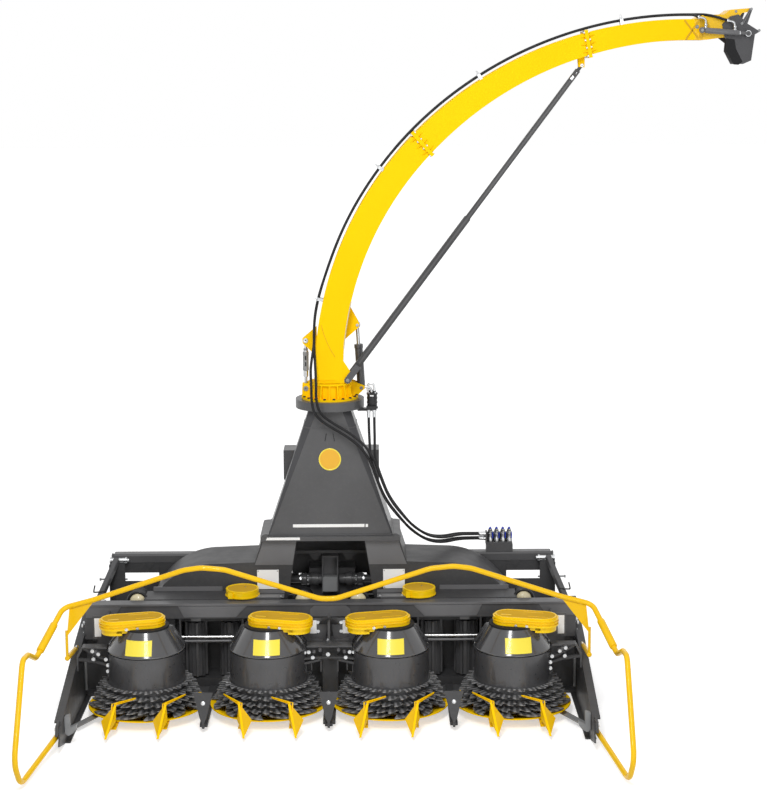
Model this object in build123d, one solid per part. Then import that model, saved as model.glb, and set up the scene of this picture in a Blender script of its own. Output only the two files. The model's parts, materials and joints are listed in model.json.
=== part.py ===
"""Tractor-mounted rotary forage harvester: four row-independent rotors, two flywheel
choppers, a pyramid chute and a turning, folding spout with a hinged flap.

Millimetres. X is to the right of someone who faces the crop side, Y points to the
tractor and Z up. The origin is on the sole of the centre skid, in the rotors' plane.
"""
from build123d import *
import os
from math import atan2, cos, degrees, radians, sin, sqrt, tan

os.makedirs("parts", exist_ok=True)

# ---- rotors -------------------------------------------------------------------------
ROTOR_PITCH = 800.0
ROTOR_COUNT = 4
DISC_RADIUS = 290.0
CLAW_RADIUS = 382.0
CLAW_COUNT = 12
DISC_THICK = 8.0
DISC_GAP = 6.0             # between the dish's rim and the turning disc
DRUM_RADIUS = 252.0
DRUM_WALL = 6.0
DRUM_TOP = 437.0
HUB_THICK = 8.0
RING_THICK = 6.0
POST_RADIUS = 45.0
RUNNING_FIT = 0.05         # radial clearance of shafts in their bores

# ---- skid dishes --------------------------------------------------------------------
DISH_RADIUS = 385.0
SOLE_RADIUS = 150.0
DISH_HEIGHT = 72.0
DISH_WALL = 6.0

# ---- hoods over the drums -----------------------------------------------------------
HOOD_GAP = 5.0             # above the turning drum
HOOD_TOP = 600.0
HOOD_TOP_RADIUS = 150.0
HOOD_WALL = 5.0
CAP_THICK = 55.0
CAP_LENGTH = 430.0
CAP_WIDTH = 210.0
CAP_OFFSET = 85.0
CAP_TURN = 13.0            # degrees, swings the lobe forward
CAP_TIER_DROP = 35.0

# ---- frame --------------------------------------------------------------------------
PAN_BOTTOM = 10.0
PAN_THICK = 20.0
PAN_FRONT = 300.0
STRAP_THICK = 20.0
SIDE_THICK = 10.0
SIDE_FLANGE = 50.0
BEAM_FRONT = 330.0
BEAM_DEPTH = 100.0
BEAM_BOTTOM = 540.0
BEAM_HEIGHT = 100.0
BEAM_HALF = 1.5 * ROTOR_PITCH + 370.0
SIDE_X = BEAM_HALF + 80.0
BEAM_WALL = 8.0
PANEL_THICK = 8.0
PANEL_GAP = 10.0           # behind the claws
SKID_WIDTH = 80.0
SKID_HALF = 250.0

# ---- chopper housings ---------------------------------------------------------------
HOUSING_RADIUS = 490.0
HOUSING_DEPTH = 470.0
HOUSING_AXIS_Z = 343.0
FEED_BOX_DEPTH = 210.0
FEED_BOX_HALF = 460.0
FEED_BOX_TOP = 645.0
INLET_HALF = 230.0
INLET_BOTTOM = 90.0
INLET_TOP = 490.0
ROLLER_OFFSET = 120.0
ROLLER_RADIUS = 80.0
ROLLER_RIBS = 10
ROLLER_SHAFT = 20.0
END_GAP = 0.3
HOUSING_FRONT = BEAM_FRONT + BEAM_DEPTH + FEED_BOX_DEPTH
HOUSING_REAR = HOUSING_FRONT + HOUSING_DEPTH

# ---- chute, turntable ---------------------------------------------------------------
LEG_TOP = 1000.0
FLANGE_THICK = 30.0
TOWER_TOP = 1885.0
TOWER_BOTTOM_HALF = 426.0
TOWER_TOP_HALF = 140.0
TURN_Y = HOUSING_REAR - 240.0  # turntable axis
RING_RADIUS = 235.0
RING_HEIGHT = 60.0
SPIGOT_RADIUS = 160.0
COLLAR_RADIUS = 194.0
COLLAR_FLANGE = 15.0
NECK_RADIUS = 135.0
NECK_HEIGHT = 100.0

# ---- spout --------------------------------------------------------------------------
SPOUT_WIDTH = 220.0
SPOUT_WALL = 5.0
SPOUT_LIP = 18.0
LIP_THICK = 12.0
HINGE_X = 125.0
HINGE_Z = 2085.0
PIN_RADIUS = 10.0
PIN_FIT = 0.1

# ---- rear frame and hitch -----------------------------------------------------------
HEAD_FRONT = HOUSING_REAR - 10.0
REAR_BAR_FRONT = HEAD_FRONT + 100.0
REAR_BAR_DEPTH = 90.0
REAR_BAR_BOTTOM = 720.0
REAR_BAR_HEIGHT = 90.0
HITCH_X = 430.0
HITCH_Y = REAR_BAR_FRONT + 200.0
HITCH_Z = 500.0
HITCH_BORE = 14.35
HITCH_PLATE = 15.0
HITCH_GAP = 20.0
TOP_LINK_Z = 1105.0
TOP_LINK_BORE = 12.75
PTO_RADIUS = 17.45
STAND_X = 900.0
STAND_LEG = 50.0
STAND_WALL = 10.0

# ---- guard --------------------------------------------------------------------------
GUARD_RADIUS = 17.0
GUARD_Y = -250.0

DISC_BOTTOM = DISH_HEIGHT + DISC_GAP
DISC_TOP = DISC_BOTTOM + DISC_THICK
HOOD_BOTTOM = DRUM_TOP + HOOD_GAP
PAN_TOP = PAN_BOTTOM + PAN_THICK
BEAM_REAR = BEAM_FRONT + BEAM_DEPTH
BEAM_TOP = BEAM_BOTTOM + BEAM_HEIGHT
PANEL_FRONT = CLAW_RADIUS + PANEL_GAP
REAR_BAR_REAR = REAR_BAR_FRONT + REAR_BAR_DEPTH
REAR_BAR_TOP = REAR_BAR_BOTTOM + REAR_BAR_HEIGHT
RING_TOP = TOWER_TOP + RING_HEIGHT
NECK_TOP = RING_TOP + COLLAR_FLANGE + NECK_HEIGHT
THROAT_X = ROTOR_PITCH

# One row per rotor: axis x, turning sense seen from above, side its cap's lobe points to.
ROTORS = [
    (-1.5 * ROTOR_PITCH, +1, -1),
    (-0.5 * ROTOR_PITCH, -1, +1),
    (+0.5 * ROTOR_PITCH, +1, -1),
    (+1.5 * ROTOR_PITCH, -1, +1),
]

# One row per tooth ring: underside z, root radius, tip radius. The lowest ring has
# TOOTH_COUNT teeth and each one above it two fewer.
TOOTH_COUNT = 30
TOOTH_RINGS = [
    (108.0, 318.0, 360.0),
    (146.0, 305.0, 346.0),
    (186.0, 292.0, 332.0),
    (226.0, 270.0, 305.0),
]

# Spout sections: outer edge's centre (x, z) and radius, inner edge's centre and radius.
SPOUT_LOWER = ((2240.0, 2088.0), 2341.0, (2298.0, 2106.0), 2205.0)
SPOUT_UPPER = ((2364.0, 1954.0), 2524.3, (2409.0, 1957.0), 2386.5)


# ---- helpers ------------------------------------------------------------------------
def save(node, *solids):
    shape = solids[0] if len(solids) == 1 else Compound(children=list(solids))
    export_step(shape, f"parts/{node}.step")


def block(x0, x1, y0, y1, z0, z1):
    return Pos((x0 + x1) / 2, (y0 + y1) / 2, (z0 + z1) / 2) * Box(x1 - x0, y1 - y0, z1 - z0)


def disc(x, y, radius, z0, z1):
    return Pos(x, y, (z0 + z1) / 2) * Cylinder(radius, z1 - z0)


def disc_y(x, z, radius, y0, y1):
    return Pos(x, (y0 + y1) / 2, z) * Rot(90, 0, 0) * Cylinder(radius, y1 - y0)


def disc_x(y, z, radius, x0, x1):
    return Pos((x0 + x1) / 2, y, z) * Rot(0, 90, 0) * Cylinder(radius, x1 - x0)


def rod(start, end, radius):
    a, b = Vector(*start), Vector(*end)
    return extrude(Plane(origin=a, z_dir=b - a) * Circle(radius), amount=(b - a).length)


def outline(points):
    return make_face(Polyline(*points, close=True))


def plate_y(points, y0, y1):
    """Prism of an X-Z outline between two Y planes."""
    return extrude(Plane.XZ.offset(-y1) * outline(points), amount=y1 - y0)


def plate_x(points, x0, x1):
    """Prism of a Y-Z outline between two X planes."""
    return extrude(Plane.YZ.offset(x0) * outline(points), amount=x1 - x0)


def plate_z(points, z0, z1):
    return extrude(Plane.XY.offset(z0) * outline(points), amount=z1 - z0)


def turned(points):
    """Solid of revolution about Z of a radius-height outline."""
    return revolve(Plane.XZ * outline(points), axis=Axis.Z)


def mirrored(shape):
    return mirror(shape, about=Plane.YZ)


def polar(radius, angle):
    return (radius * cos(radians(angle)), radius * sin(radians(angle)))


def toothed(root, tip, count, sense, lean, width):
    """Disc outline of arcs with one hooked tooth per step, leaning in the turning sense."""
    edges = []
    step = 360.0 / count
    for i in range(count):
        start = i * step
        tooth_end = start + width * step
        tip_angle = start + lean * step
        root_a = polar(root, start)
        root_b = polar(root, tooth_end)
        point = polar(tip, tip_angle)
        belly = polar((root + tip) / 2, start + 0.25 * lean * step)
        edges.append(ThreePointArc(root_a, belly, point))
        edges.append(Line(point, root_b))
        next_root = polar(root, start + step)
        middle = polar(root, (tooth_end + start + step) / 2)
        edges.append(ThreePointArc(root_b, middle, next_root))
    face = make_face(edges)
    return face if sense < 0 else mirror(face, about=Plane.XZ)


# ---- rotors -------------------------------------------------------------------------
def rotor_drum(x, sense):
    shell = turned([
        (POST_RADIUS + RUNNING_FIT, DISC_TOP), (DRUM_RADIUS, DISC_TOP),
        (DRUM_RADIUS, DRUM_TOP), (POST_RADIUS + RUNNING_FIT, DRUM_TOP),
        (POST_RADIUS + RUNNING_FIT, DRUM_TOP - HUB_THICK),
        (DRUM_RADIUS - DRUM_WALL, DRUM_TOP - HUB_THICK),
        (DRUM_RADIUS - DRUM_WALL, DISC_TOP + HUB_THICK),
        (POST_RADIUS + RUNNING_FIT, DISC_TOP + HUB_THICK),
    ])
    rings = []
    for row, (z, root, tip) in enumerate(TOOTH_RINGS):
        count = TOOTH_COUNT - 2 * row
        face = toothed(root, tip, count, sense, 0.75, 0.8) - Circle(DRUM_RADIUS - DRUM_WALL / 2)
        rings.append(extrude(Plane.XY.offset(z) * face, amount=RING_THICK))
    return Pos(x, 0, 0) * (shell + rings)


def rotor_knives(x, sense):
    face = toothed(DISC_RADIUS, CLAW_RADIUS, CLAW_COUNT, sense, 0.9, 0.72)
    face -= Circle(POST_RADIUS + RUNNING_FIT)
    return Pos(x, 0, DISC_BOTTOM) * extrude(face, amount=DISC_THICK)


def skid_dish(x):
    bowl = turned([
        (0, 0), (SOLE_RADIUS, 0), (DISH_RADIUS, DISH_HEIGHT - DISH_WALL),
        (DISH_RADIUS, DISH_HEIGHT), (DISH_RADIUS - 12, DISH_HEIGHT),
        (SOLE_RADIUS - 2, DISH_WALL), (0, DISH_WALL),
    ])
    tab = block(-100, 100, 200, PANEL_FRONT, PAN_TOP, PAN_TOP + STRAP_THICK)
    tab -= turned([(0, 0), (SOLE_RADIUS, 0), (DISH_RADIUS, DISH_HEIGHT - DISH_WALL), (0, 100)])
    lugs = [fin_seat(offset) for offset in FIN_OFFSETS]
    post = disc(0, 0, POST_RADIUS, DISH_WALL, HOOD_TOP - HOOD_WALL)
    return Pos(x, 0, 0) * (bowl + post + tab + lugs)


# Divider fins, for the rotor whose fins stand to the left of its axis: tip x, bend x and
# arm end (x, y), all from the rotor's axis; the other rotors' fins are their mirror.
FINS = [
    (-198.0, -148.0, (-34.0, -322.0)),
    (130.0, 169.0, (277.0, -255.0)),
]
FIN_TIP_Y = -580.0
FIN_TIP_Z = 32.0
FIN_BEND_Y = -415.0
FIN_BEND_Z = 208.0
FIN_THICK = 5.0
FIN_WIDE = 45.0             # the face turned away from the arm
FIN_NARROW = 50.0
FIN_BACK_Y = -440.0
FIN_BACK_Z = 100.0
FIN_FOOT_BOTTOM = 50.0
FIN_OFFSETS = [(tip + bend) / 2 for tip, bend, _ in FINS]


def fin_seat(offset):
    """Flat lug on the dish's rim that a divider fin is bolted on."""
    reach = 320.0
    lug = block(offset - 25, offset + 25, -reach - 120, -reach + 60,
                FIN_FOOT_BOTTOM - 8, FIN_FOOT_BOTTOM)
    return lug - turned([(0, 0), (SOLE_RADIUS, 0), (DISH_RADIUS - 12, DISH_HEIGHT - DISH_WALL),
                         (0, 100)])


def triangle_plate(a, b, c, thickness):
    """Flat three-cornered plate, its thickness laid down and inwards from its corners."""
    a, b, c = Vector(*a), Vector(*b), Vector(*c)
    normal = (b - a).cross(c - a).normalized()
    if normal.Z > 0:
        normal = -normal
    face = Face(Wire([Edge.make_line(a, b), Edge.make_line(b, c), Edge.make_line(c, a)]))
    return Solid.extrude(face, normal * thickness)


def divider_fin(tip_x, bend_x, arm_end):
    tip = (tip_x, FIN_TIP_Y, FIN_TIP_Z)
    bend = (bend_x, FIN_BEND_Y, FIN_BEND_Z)
    left = (tip_x - FIN_WIDE, FIN_BACK_Y, FIN_BACK_Z)
    right = (tip_x + FIN_NARROW, FIN_BACK_Y, FIN_BACK_Z)
    arm_z = FIN_BEND_Z
    direction = Vector(arm_end[0] - bend_x, arm_end[1] - FIN_BEND_Y, 0).normalized()
    side = Vector(-direction.Y, direction.X, 0) * 16
    arm = plate_z([
        (bend_x - side.X - direction.X * 12, FIN_BEND_Y - side.Y - direction.Y * 12),
        (arm_end[0], arm_end[1]),
        (bend_x + side.X - direction.X * 12, FIN_BEND_Y + side.Y - direction.Y * 12),
    ], arm_z - FIN_THICK, arm_z)
    offset = (tip_x + bend_x) / 2
    foot = block(offset - 22, offset + 22, -425, -320 - 8, FIN_FOOT_BOTTOM, FIN_FOOT_BOTTOM + 6)
    stalk = plate_x([(-425, FIN_FOOT_BOTTOM), (-400, FIN_FOOT_BOTTOM), (-400, 70),
                     (-410, FIN_BEND_Z - 2), (-435, FIN_BEND_Z - 20), (-470, 120)],
                    offset - 4, offset + 4)
    return (triangle_plate(tip, bend, left, FIN_THICK) + triangle_plate(tip, bend, right, FIN_THICK)
            + arm + foot + stalk)


def hood(x):
    shell = turned([
        (DRUM_RADIUS, HOOD_BOTTOM), (DRUM_RADIUS, HOOD_BOTTOM + 8), (HOOD_TOP_RADIUS, HOOD_TOP - 4),
        (HOOD_TOP_RADIUS, HOOD_TOP), (0, HOOD_TOP), (0, HOOD_TOP - HOOD_WALL),
        (HOOD_TOP_RADIUS - HOOD_WALL, HOOD_TOP - HOOD_WALL),
        (DRUM_RADIUS - HOOD_WALL, HOOD_BOTTOM + 6), (DRUM_RADIUS - HOOD_WALL, HOOD_BOTTOM),
    ])
    bracket = block(-40, 40, HOOD_TOP_RADIUS - 8, BEAM_FRONT, 560, HOOD_TOP - HOOD_WALL)
    return Pos(x, 0, 0) * (shell + bracket)


def hood_cap(x, lobe):
    def oblong(margin, z0, z1):
        face = SlotOverall(CAP_LENGTH - 2 * margin, CAP_WIDTH - 2 * margin)
        return Pos(lobe * CAP_OFFSET, 0, z0) * extrude(face, amount=z1 - z0)

    top = HOOD_TOP + CAP_THICK
    body = oblong(0, HOOD_TOP, HOOD_TOP + 12) + oblong(7, HOOD_TOP + 12, top - 14)
    body += oblong(0, top - 14, top - 6) + oblong(12, top - 6, top)
    tier = oblong(14, HOOD_TOP - CAP_TIER_DROP, HOOD_TOP)
    clear = disc(0, 0, 185, HOOD_TOP - CAP_TIER_DROP - 1, HOOD_TOP + 1)
    return Pos(x, 0, 0) * Rot(0, 0, lobe * -CAP_TURN) * (body + (tier - clear))


# ---- fixed structure ------------------------------------------------------------------
def floor_pan():
    return block(-SIDE_X, SIDE_X, PAN_FRONT, HOUSING_REAR, PAN_BOTTOM, PAN_TOP)


def centre_skid():
    return block(-SKID_WIDTH / 2, SKID_WIDTH / 2, -SKID_HALF, SKID_HALF, 0, PAN_TOP)


def tongue(x):
    strap = block(-25, 25, -370, PANEL_FRONT, PAN_TOP, PAN_TOP + STRAP_THICK)
    blade = plate_x([(-370, PAN_TOP), (-400, PAN_TOP), (-420, 60), (-352, 255), (-342, 255),
                     (-370, 100)], -8, 8)
    face = [(-62, 255), (62, 255), (20, 90), (0, 50), (-20, 90)]
    shield = plate_y(face, -356, -350)
    shield = Pos(0, -353, 255) * Rot(-19, 0, 0) * Pos(0, 353, -255) * shield
    return Pos(x, 0, 0) * (strap + blade + shield)


def front_beam():
    tube = block(-BEAM_HALF, BEAM_HALF, BEAM_FRONT, BEAM_REAR, BEAM_BOTTOM, BEAM_TOP)
    tube -= block(-BEAM_HALF, BEAM_HALF, BEAM_FRONT + BEAM_WALL, BEAM_REAR - BEAM_WALL,
                  BEAM_BOTTOM + BEAM_WALL, BEAM_TOP - BEAM_WALL)
    end = block(BEAM_HALF, SIDE_X, BEAM_FRONT, BEAM_REAR, 400, BEAM_TOP)
    return tube + end + mirrored(end)


def back_panels():
    middle = block(-THROAT_X + 250, THROAT_X - 250, PANEL_FRONT, PANEL_FRONT + PANEL_THICK,
                   PAN_TOP, BEAM_BOTTOM)
    outer = block(THROAT_X + 250, SIDE_X, PANEL_FRONT, PANEL_FRONT + PANEL_THICK,
                  PAN_TOP, 400)
    outer += block(THROAT_X + 250, BEAM_HALF, PANEL_FRONT, PANEL_FRONT + PANEL_THICK,
                   400, BEAM_BOTTOM)
    return [middle, outer, mirrored(outer)]


def strippers():
    reach = DRUM_RADIUS + END_GAP
    z0, z1 = HOOD_BOTTOM + 8, HOOD_BOTTOM + 18
    x0 = 1.5 * ROTOR_PITCH + reach
    side = plate_y([(x0, z0), (x0, z1), (SIDE_X - 35, z1), (SIDE_X, 400), (SIDE_X, 300),
                    (SIDE_X - 10, 300), (SIDE_X - 10, 390), (SIDE_X - 42, z0)], -40, 40)
    half = 0.5 * ROTOR_PITCH - reach
    centre = block(-half, half, -40, 40, z0, z1) + block(-40, 40, 40, 180, z0, z1)
    post = block(-52, 52, 180, PANEL_FRONT, PAN_TOP + STRAP_THICK, BEAM_BOTTOM)
    return [side, mirrored(side), centre + post]


SIDE_OUTLINE = [(-790, 60), (-716, 163), (248, 425), (792, 547), (840, 500), (840, 120),
                (600, PAN_BOTTOM), (-600, PAN_BOTTOM)]


def side_plate():
    plate = plate_x(SIDE_OUTLINE, SIDE_X, SIDE_X + SIDE_THICK)
    ridge = [(-660, 178.2), (248, 425), (792, 547), (792, 537), (248, 415), (-660, 168.2)]
    flange = plate_x(ridge, SIDE_X + SIDE_THICK, SIDE_X + SIDE_FLANGE)
    sole = block(SIDE_X - 30, SIDE_X + 40, -560, 560, 0, PAN_BOTTOM)
    return plate + flange + sole


def side_shoe():
    return plate_x([(-800, 130), (-775, 190), (-690, 200), (-668, 150), (-690, 130)],
                   SIDE_X + SIDE_THICK, SIDE_X + SIDE_THICK + 14)


def chopper_housing():
    drum = disc_y(-THROAT_X, HOUSING_AXIS_Z, HOUSING_RADIUS, HOUSING_FRONT, HOUSING_REAR)
    top = HOUSING_AXIS_Z + HOUSING_RADIUS
    duct = plate_y([(-THROAT_X, top), (-520, top + 10), (-470, LEG_TOP), (-230, LEG_TOP),
                    (-296, 595), (-420, HOUSING_AXIS_Z), (-THROAT_X, HOUSING_AXIS_Z)],
                   HOUSING_FRONT, HOUSING_REAR)
    below = block(-1400, 0, HOUSING_FRONT - 1, HOUSING_REAR + 1, -200, PAN_TOP)
    return drum + duct - below


def feed_box():
    """Box behind each throat, open to the front, with the feed rollers in it."""
    box = block(-THROAT_X - FEED_BOX_HALF, -THROAT_X + FEED_BOX_HALF, BEAM_REAR, HOUSING_FRONT,
                PAN_TOP, FEED_BOX_TOP)
    return box - block(-THROAT_X - INLET_HALF, -THROAT_X + INLET_HALF, BEAM_REAR - 1,
                       HOUSING_FRONT + 1, INLET_BOTTOM, INLET_TOP)


def feed_roller(x):
    step = 360.0 / ROLLER_RIBS
    points = []
    for i in range(ROLLER_RIBS):
        points.append(polar(ROLLER_RADIUS - 14, i * step))
        points.append(polar(ROLLER_RADIUS - 14, (i + 0.55) * step))
        points.append(polar(ROLLER_RADIUS, (i + 0.62) * step))
        points.append(polar(ROLLER_RADIUS, (i + 0.93) * step))
    body = plate_z(points, INLET_BOTTOM + 12, INLET_TOP - 12)
    shaft = disc(0, 0, ROLLER_SHAFT, INLET_BOTTOM + END_GAP, INLET_TOP - END_GAP)
    return Pos(x, BEAM_REAR + 70, 0) * (body + shaft)


def throat_bar(x, z):
    return disc_x(PANEL_FRONT + PANEL_THICK / 2, z, 9, x - 250, x + 250)


def roller_cap(x):
    z = FEED_BOX_TOP
    return Pos(x, BEAM_REAR + 85, 0) * turned([(0, z), (108, z), (108, z + 6), (112, z + 8),
                                               (112, z + 42), (104, z + 50), (0, z + 50)])


def shaft_guard(x):
    cup = disc(x, BEAM_REAR + 82, 80, 565, 640) - disc(x, BEAM_REAR + 82, 66, 620, 641)
    arm = block(x - 40, x + 40, BEAM_REAR, BEAM_REAR + 82, 565, 600)
    return cup + arm


def guard_dome(x):
    return Pos(x, BEAM_REAR + 82, 0) * turned([(0, 620), (58, 620), (52, 640), (34, 654), (0, 660)])


def tower():
    def ring(half_x, y0, y1, bevel, z):
        return Polyline(
            (-half_x, y0 + bevel, z), (-half_x + bevel, y0, z), (half_x - bevel, y0, z),
            (half_x, y0 + bevel, z), (half_x, y1 - bevel, z), (half_x - bevel, y1, z),
            (-half_x + bevel, y1, z), (-half_x, y1 - bevel, z), close=True)

    bottom = make_face(ring(TOWER_BOTTOM_HALF, HOUSING_FRONT, HOUSING_REAR - 20, 8, LEG_TOP + FLANGE_THICK))
    top = make_face(ring(TOWER_TOP_HALF, TURN_Y - 170, TURN_Y + 170, 55, TOWER_TOP))
    body = loft([bottom, top], ruled=True)
    bracket = block(-100, 100, HEAD_FRONT - 70, HEAD_FRONT, 1350, 1450)
    return body + bracket


def tower_flange():
    plate = block(-480, 480, HOUSING_FRONT - 40, HOUSING_REAR, LEG_TOP, LEG_TOP + FLANGE_THICK)
    return fillet(plate.edges().filter_by(Axis.Z), 40)


def turntable_ring():
    return (disc(0, TURN_Y, RING_RADIUS, TOWER_TOP, RING_TOP)
            - disc(0, TURN_Y, SPIGOT_RADIUS, TOWER_TOP, RING_TOP))


def swivel_motor():
    y = TURN_Y - 100
    bracket = block(TOWER_TOP_HALF + 50, 320, y, y + 50, TOWER_TOP - 16, TOWER_TOP)
    body = disc(290, y, 34, TOWER_TOP, TOWER_TOP + 100) + disc(290, y, 26, TOWER_TOP + 100, TOWER_TOP + 127)
    ports = block(250, 318, y - 60, y - 28, TOWER_TOP, TOWER_TOP + 26)
    return bracket + body + ports


# ---- turret ---------------------------------------------------------------------------
LINK_X = -162.0
LINK_Z = 2020.0
LINK_TOP = (-160.0, 2350.0)
LINK_Y = TURN_Y - 40.0
TILT_X = 216.0
TILT_Z = 2010.0
TILT_TOP = (191.0, 2443.0)
TILT_Y = TURN_Y + 50.0
FORK_GAP = 15.0
FORK_PLATE = 8.0
EYE_RADIUS = 24.0
EYE_CLEAR = 6.5            # the rod's eye is wider than its pin by this


def fork(points, y, gap=FORK_GAP, thick=FORK_PLATE):
    """Two parallel lugs on both sides of a plane of constant Y."""
    return plate_y(points, y - gap - thick, y - gap) + plate_y(points, y + gap, y + gap + thick)


def cross_pin(x, z, y, radius=PIN_RADIUS - 2, gap=FORK_GAP, thick=FORK_PLATE):
    return disc_y(x, z, radius, y - gap - thick - 5, y + gap + thick + 5)


def collar():
    body = disc(0, TURN_Y, SPIGOT_RADIUS - RUNNING_FIT, TOWER_TOP + 15, RING_TOP)
    body += disc(0, TURN_Y, COLLAR_RADIUS, RING_TOP, RING_TOP + COLLAR_FLANGE)
    body += disc(0, TURN_Y, NECK_RADIUS, RING_TOP + COLLAR_FLANGE, NECK_TOP)
    for i in range(16):
        body += Pos(0, TURN_Y, 0) * Rot(0, 0, i * 22.5) * block(
            NECK_RADIUS - 5, NECK_RADIUS + 12, -5, 5, RING_TOP + 8, NECK_TOP - 6)
    z0 = RING_TOP + COLLAR_FLANGE / 2
    body += fork([(-190, z0), (-100, z0), (-100, NECK_TOP - 4), (-185, NECK_TOP - 4)], LINK_Y)
    body += cross_pin(LINK_X, LINK_Z, LINK_Y)
    body += fork([(80, z0), (185, z0), (245, TILT_Z), (235, TILT_Z + 16), (150, NECK_TOP),
                  (80, NECK_TOP)], TILT_Y, gap=32)
    body += cross_pin(TILT_X, TILT_Z, TILT_Y, gap=32)
    lug = [(HINGE_X - 22, NECK_TOP - 30), (HINGE_X + 22, NECK_TOP - 30),
           (HINGE_X + 22, HINGE_Z + 2), (HINGE_X + 12, HINGE_Z + 18),
           (HINGE_X - 12, HINGE_Z + 18), (HINGE_X - 22, HINGE_Z + 2)]
    body += plate_y(lug, HINGE_NEAR, HINGE_NEAR + 12) + plate_y(lug, HINGE_FAR - 12, HINGE_FAR)
    body += disc_y(HINGE_X, HINGE_Z, PIN_RADIUS, HINGE_NEAR - 6, HINGE_FAR + 6)
    return body


HINGE_NEAR = TURN_Y - 75.0
HINGE_FAR = TURN_Y + 15.0
STRUT_Y = TURN_Y - 30.0


# ---- spout ----------------------------------------------------------------------------
def spout_edge(centre, radius, z=None, x=None):
    """Point of an edge circle at a height on its left side, or at an x on its top."""
    if z is not None:
        return (centre[0] - sqrt(radius ** 2 - (z - centre[1]) ** 2), z)
    return (x, centre[1] + sqrt(radius ** 2 - (x - centre[0]) ** 2))


def spout_band(edges, outer, inner, half_width, grow=0.0, inner_grow=None):
    """Prism between the outer and the inner edge circles; outer and inner give each edge's
    start and end points, and grow moves both edges outwards."""
    (oc, orad, ic, irad) = edges
    shrink = grow if inner_grow is None else inner_grow

    def moved(point, centre, amount):
        d = Vector(point[0] - centre[0], point[1] - centre[1])
        d = d.normalized() * amount
        return (point[0] + d.X, point[1] + d.Y)

    def middle(p, q, centre, radius):
        a = degrees(atan2(p[1] - centre[1], p[0] - centre[0]))
        b = degrees(atan2(q[1] - centre[1], q[0] - centre[0]))
        if a < 0:
            a += 360
        m = radians((a + b) / 2)
        return (centre[0] + radius * cos(m), centre[1] + radius * sin(m))

    o0, o1 = moved(outer[0], oc, grow), moved(outer[1], oc, grow)
    i0, i1 = moved(inner[0], ic, -shrink), moved(inner[1], ic, -shrink)
    wire = [ThreePointArc(o0, middle(o0, o1, oc, orad + grow), o1), Line(o1, i1),
            ThreePointArc(i1, middle(i0, i1, ic, irad - shrink), i0), Line(i0, o0)]
    face = make_face(wire)
    plane = Plane.XZ.offset(-(TURN_Y + half_width))
    return extrude(plane * face, amount=2 * half_width)


BASE_Z = NECK_TOP + 2
BASE_OUT = spout_edge(SPOUT_LOWER[0], SPOUT_LOWER[1], z=BASE_Z + 8)
BASE_IN = spout_edge(SPOUT_LOWER[2], SPOUT_LOWER[3], z=BASE_Z + 8)
JOINT_OUT = (578.0, 3738.0)
JOINT_IN = (694.0, 3609.0)
SECOND_OUT = spout_edge(SPOUT_UPPER[0], SPOUT_UPPER[1], x=1715.0)
SECOND_IN = spout_edge(SPOUT_UPPER[2], SPOUT_UPPER[3], x=1744.0)
SPOUT_END_X = 2430.0
END_OUT = spout_edge(SPOUT_UPPER[0], SPOUT_UPPER[1], x=SPOUT_END_X)
END_IN = spout_edge(SPOUT_UPPER[2], SPOUT_UPPER[3], x=SPOUT_END_X + 2)
HALF = SPOUT_WIDTH / 2


def spout_lip(outer, inner, side):
    """Half of a bolted flange pair round the spout, on one side of the joint line."""
    d = Vector(outer[0] - inner[0], outer[1] - inner[1]).normalized()
    n = Vector(d.Y, -d.X) * side
    a = (inner[0] - d.X * SPOUT_LIP, inner[1] - d.Y * SPOUT_LIP)
    b = (outer[0] + d.X * SPOUT_LIP, outer[1] + d.Y * SPOUT_LIP)
    corners = [a, b, (b[0] + n.X * LIP_THICK, b[1] + n.Y * LIP_THICK),
               (a[0] + n.X * LIP_THICK, a[1] + n.Y * LIP_THICK)]
    return plate_y(corners, TURN_Y - HALF - SPOUT_LIP, TURN_Y + HALF + SPOUT_LIP)


def spout_section(edges, outer, inner, lips, open_below=False):
    wall = spout_band(edges, outer, inner, HALF)
    for lip_outer, lip_inner, side in lips:
        wall += spout_lip(lip_outer, lip_inner, side)
    hollow = spout_band(edges, outer, inner, HALF - SPOUT_WALL, -SPOUT_WALL,
                        40.0 if open_below else -SPOUT_WALL)
    return wall - hollow


def spout_lower():
    body = spout_section(SPOUT_LOWER, (BASE_OUT, JOINT_OUT), (BASE_IN, JOINT_IN),
                         [(JOINT_OUT, JOINT_IN, -1)])
    base = plate_y([(BASE_OUT[0] - 6, BASE_Z), (HINGE_X - 26, BASE_Z), (HINGE_X - 26, BASE_Z + 60),
                    (BASE_IN[0] - 2, BASE_Z + 100), (BASE_IN[0] - 2, BASE_Z + 14),
                    (BASE_OUT[0] - 6, BASE_Z + 14)], TURN_Y - HALF - 6, TURN_Y + HALF + 6)
    base -= block(BASE_OUT[0] + 8, BASE_IN[0] - 8, TURN_Y - HALF + 8, TURN_Y + HALF - 8,
                  BASE_Z - 1, BASE_Z + 120)
    return body + base


def hinge_lugs():
    eye = [(HINGE_X - 26, BASE_Z + 2), (HINGE_X - 26, BASE_Z + 60), (HINGE_X + 16, HINGE_Z + 20),
           (HINGE_X + 16, HINGE_Z - 14), (HINGE_X - 10, BASE_Z + 2)]
    gap = 1.0
    near = plate_y(eye, HINGE_NEAR + 12 + gap, HINGE_NEAR + 12 + gap + 8)
    far = plate_y(eye, HINGE_FAR - 12 - gap - 8, HINGE_FAR - 12 - gap)
    return [lug - disc_y(HINGE_X, HINGE_Z, PIN_RADIUS + PIN_FIT, HINGE_NEAR - 50, HINGE_FAR + 50) for lug in (near, far)]


def link_bracket():
    x, z = LINK_TOP
    edge = spout_edge(SPOUT_LOWER[0], SPOUT_LOWER[1], z=z)[0]
    body = fork([(x - 20, z - 18), (x - 22, z + 12), (edge + 2, z + 95), (edge + 2, z - 110)], LINK_Y)
    return body + cross_pin(x, z, LINK_Y)


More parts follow.
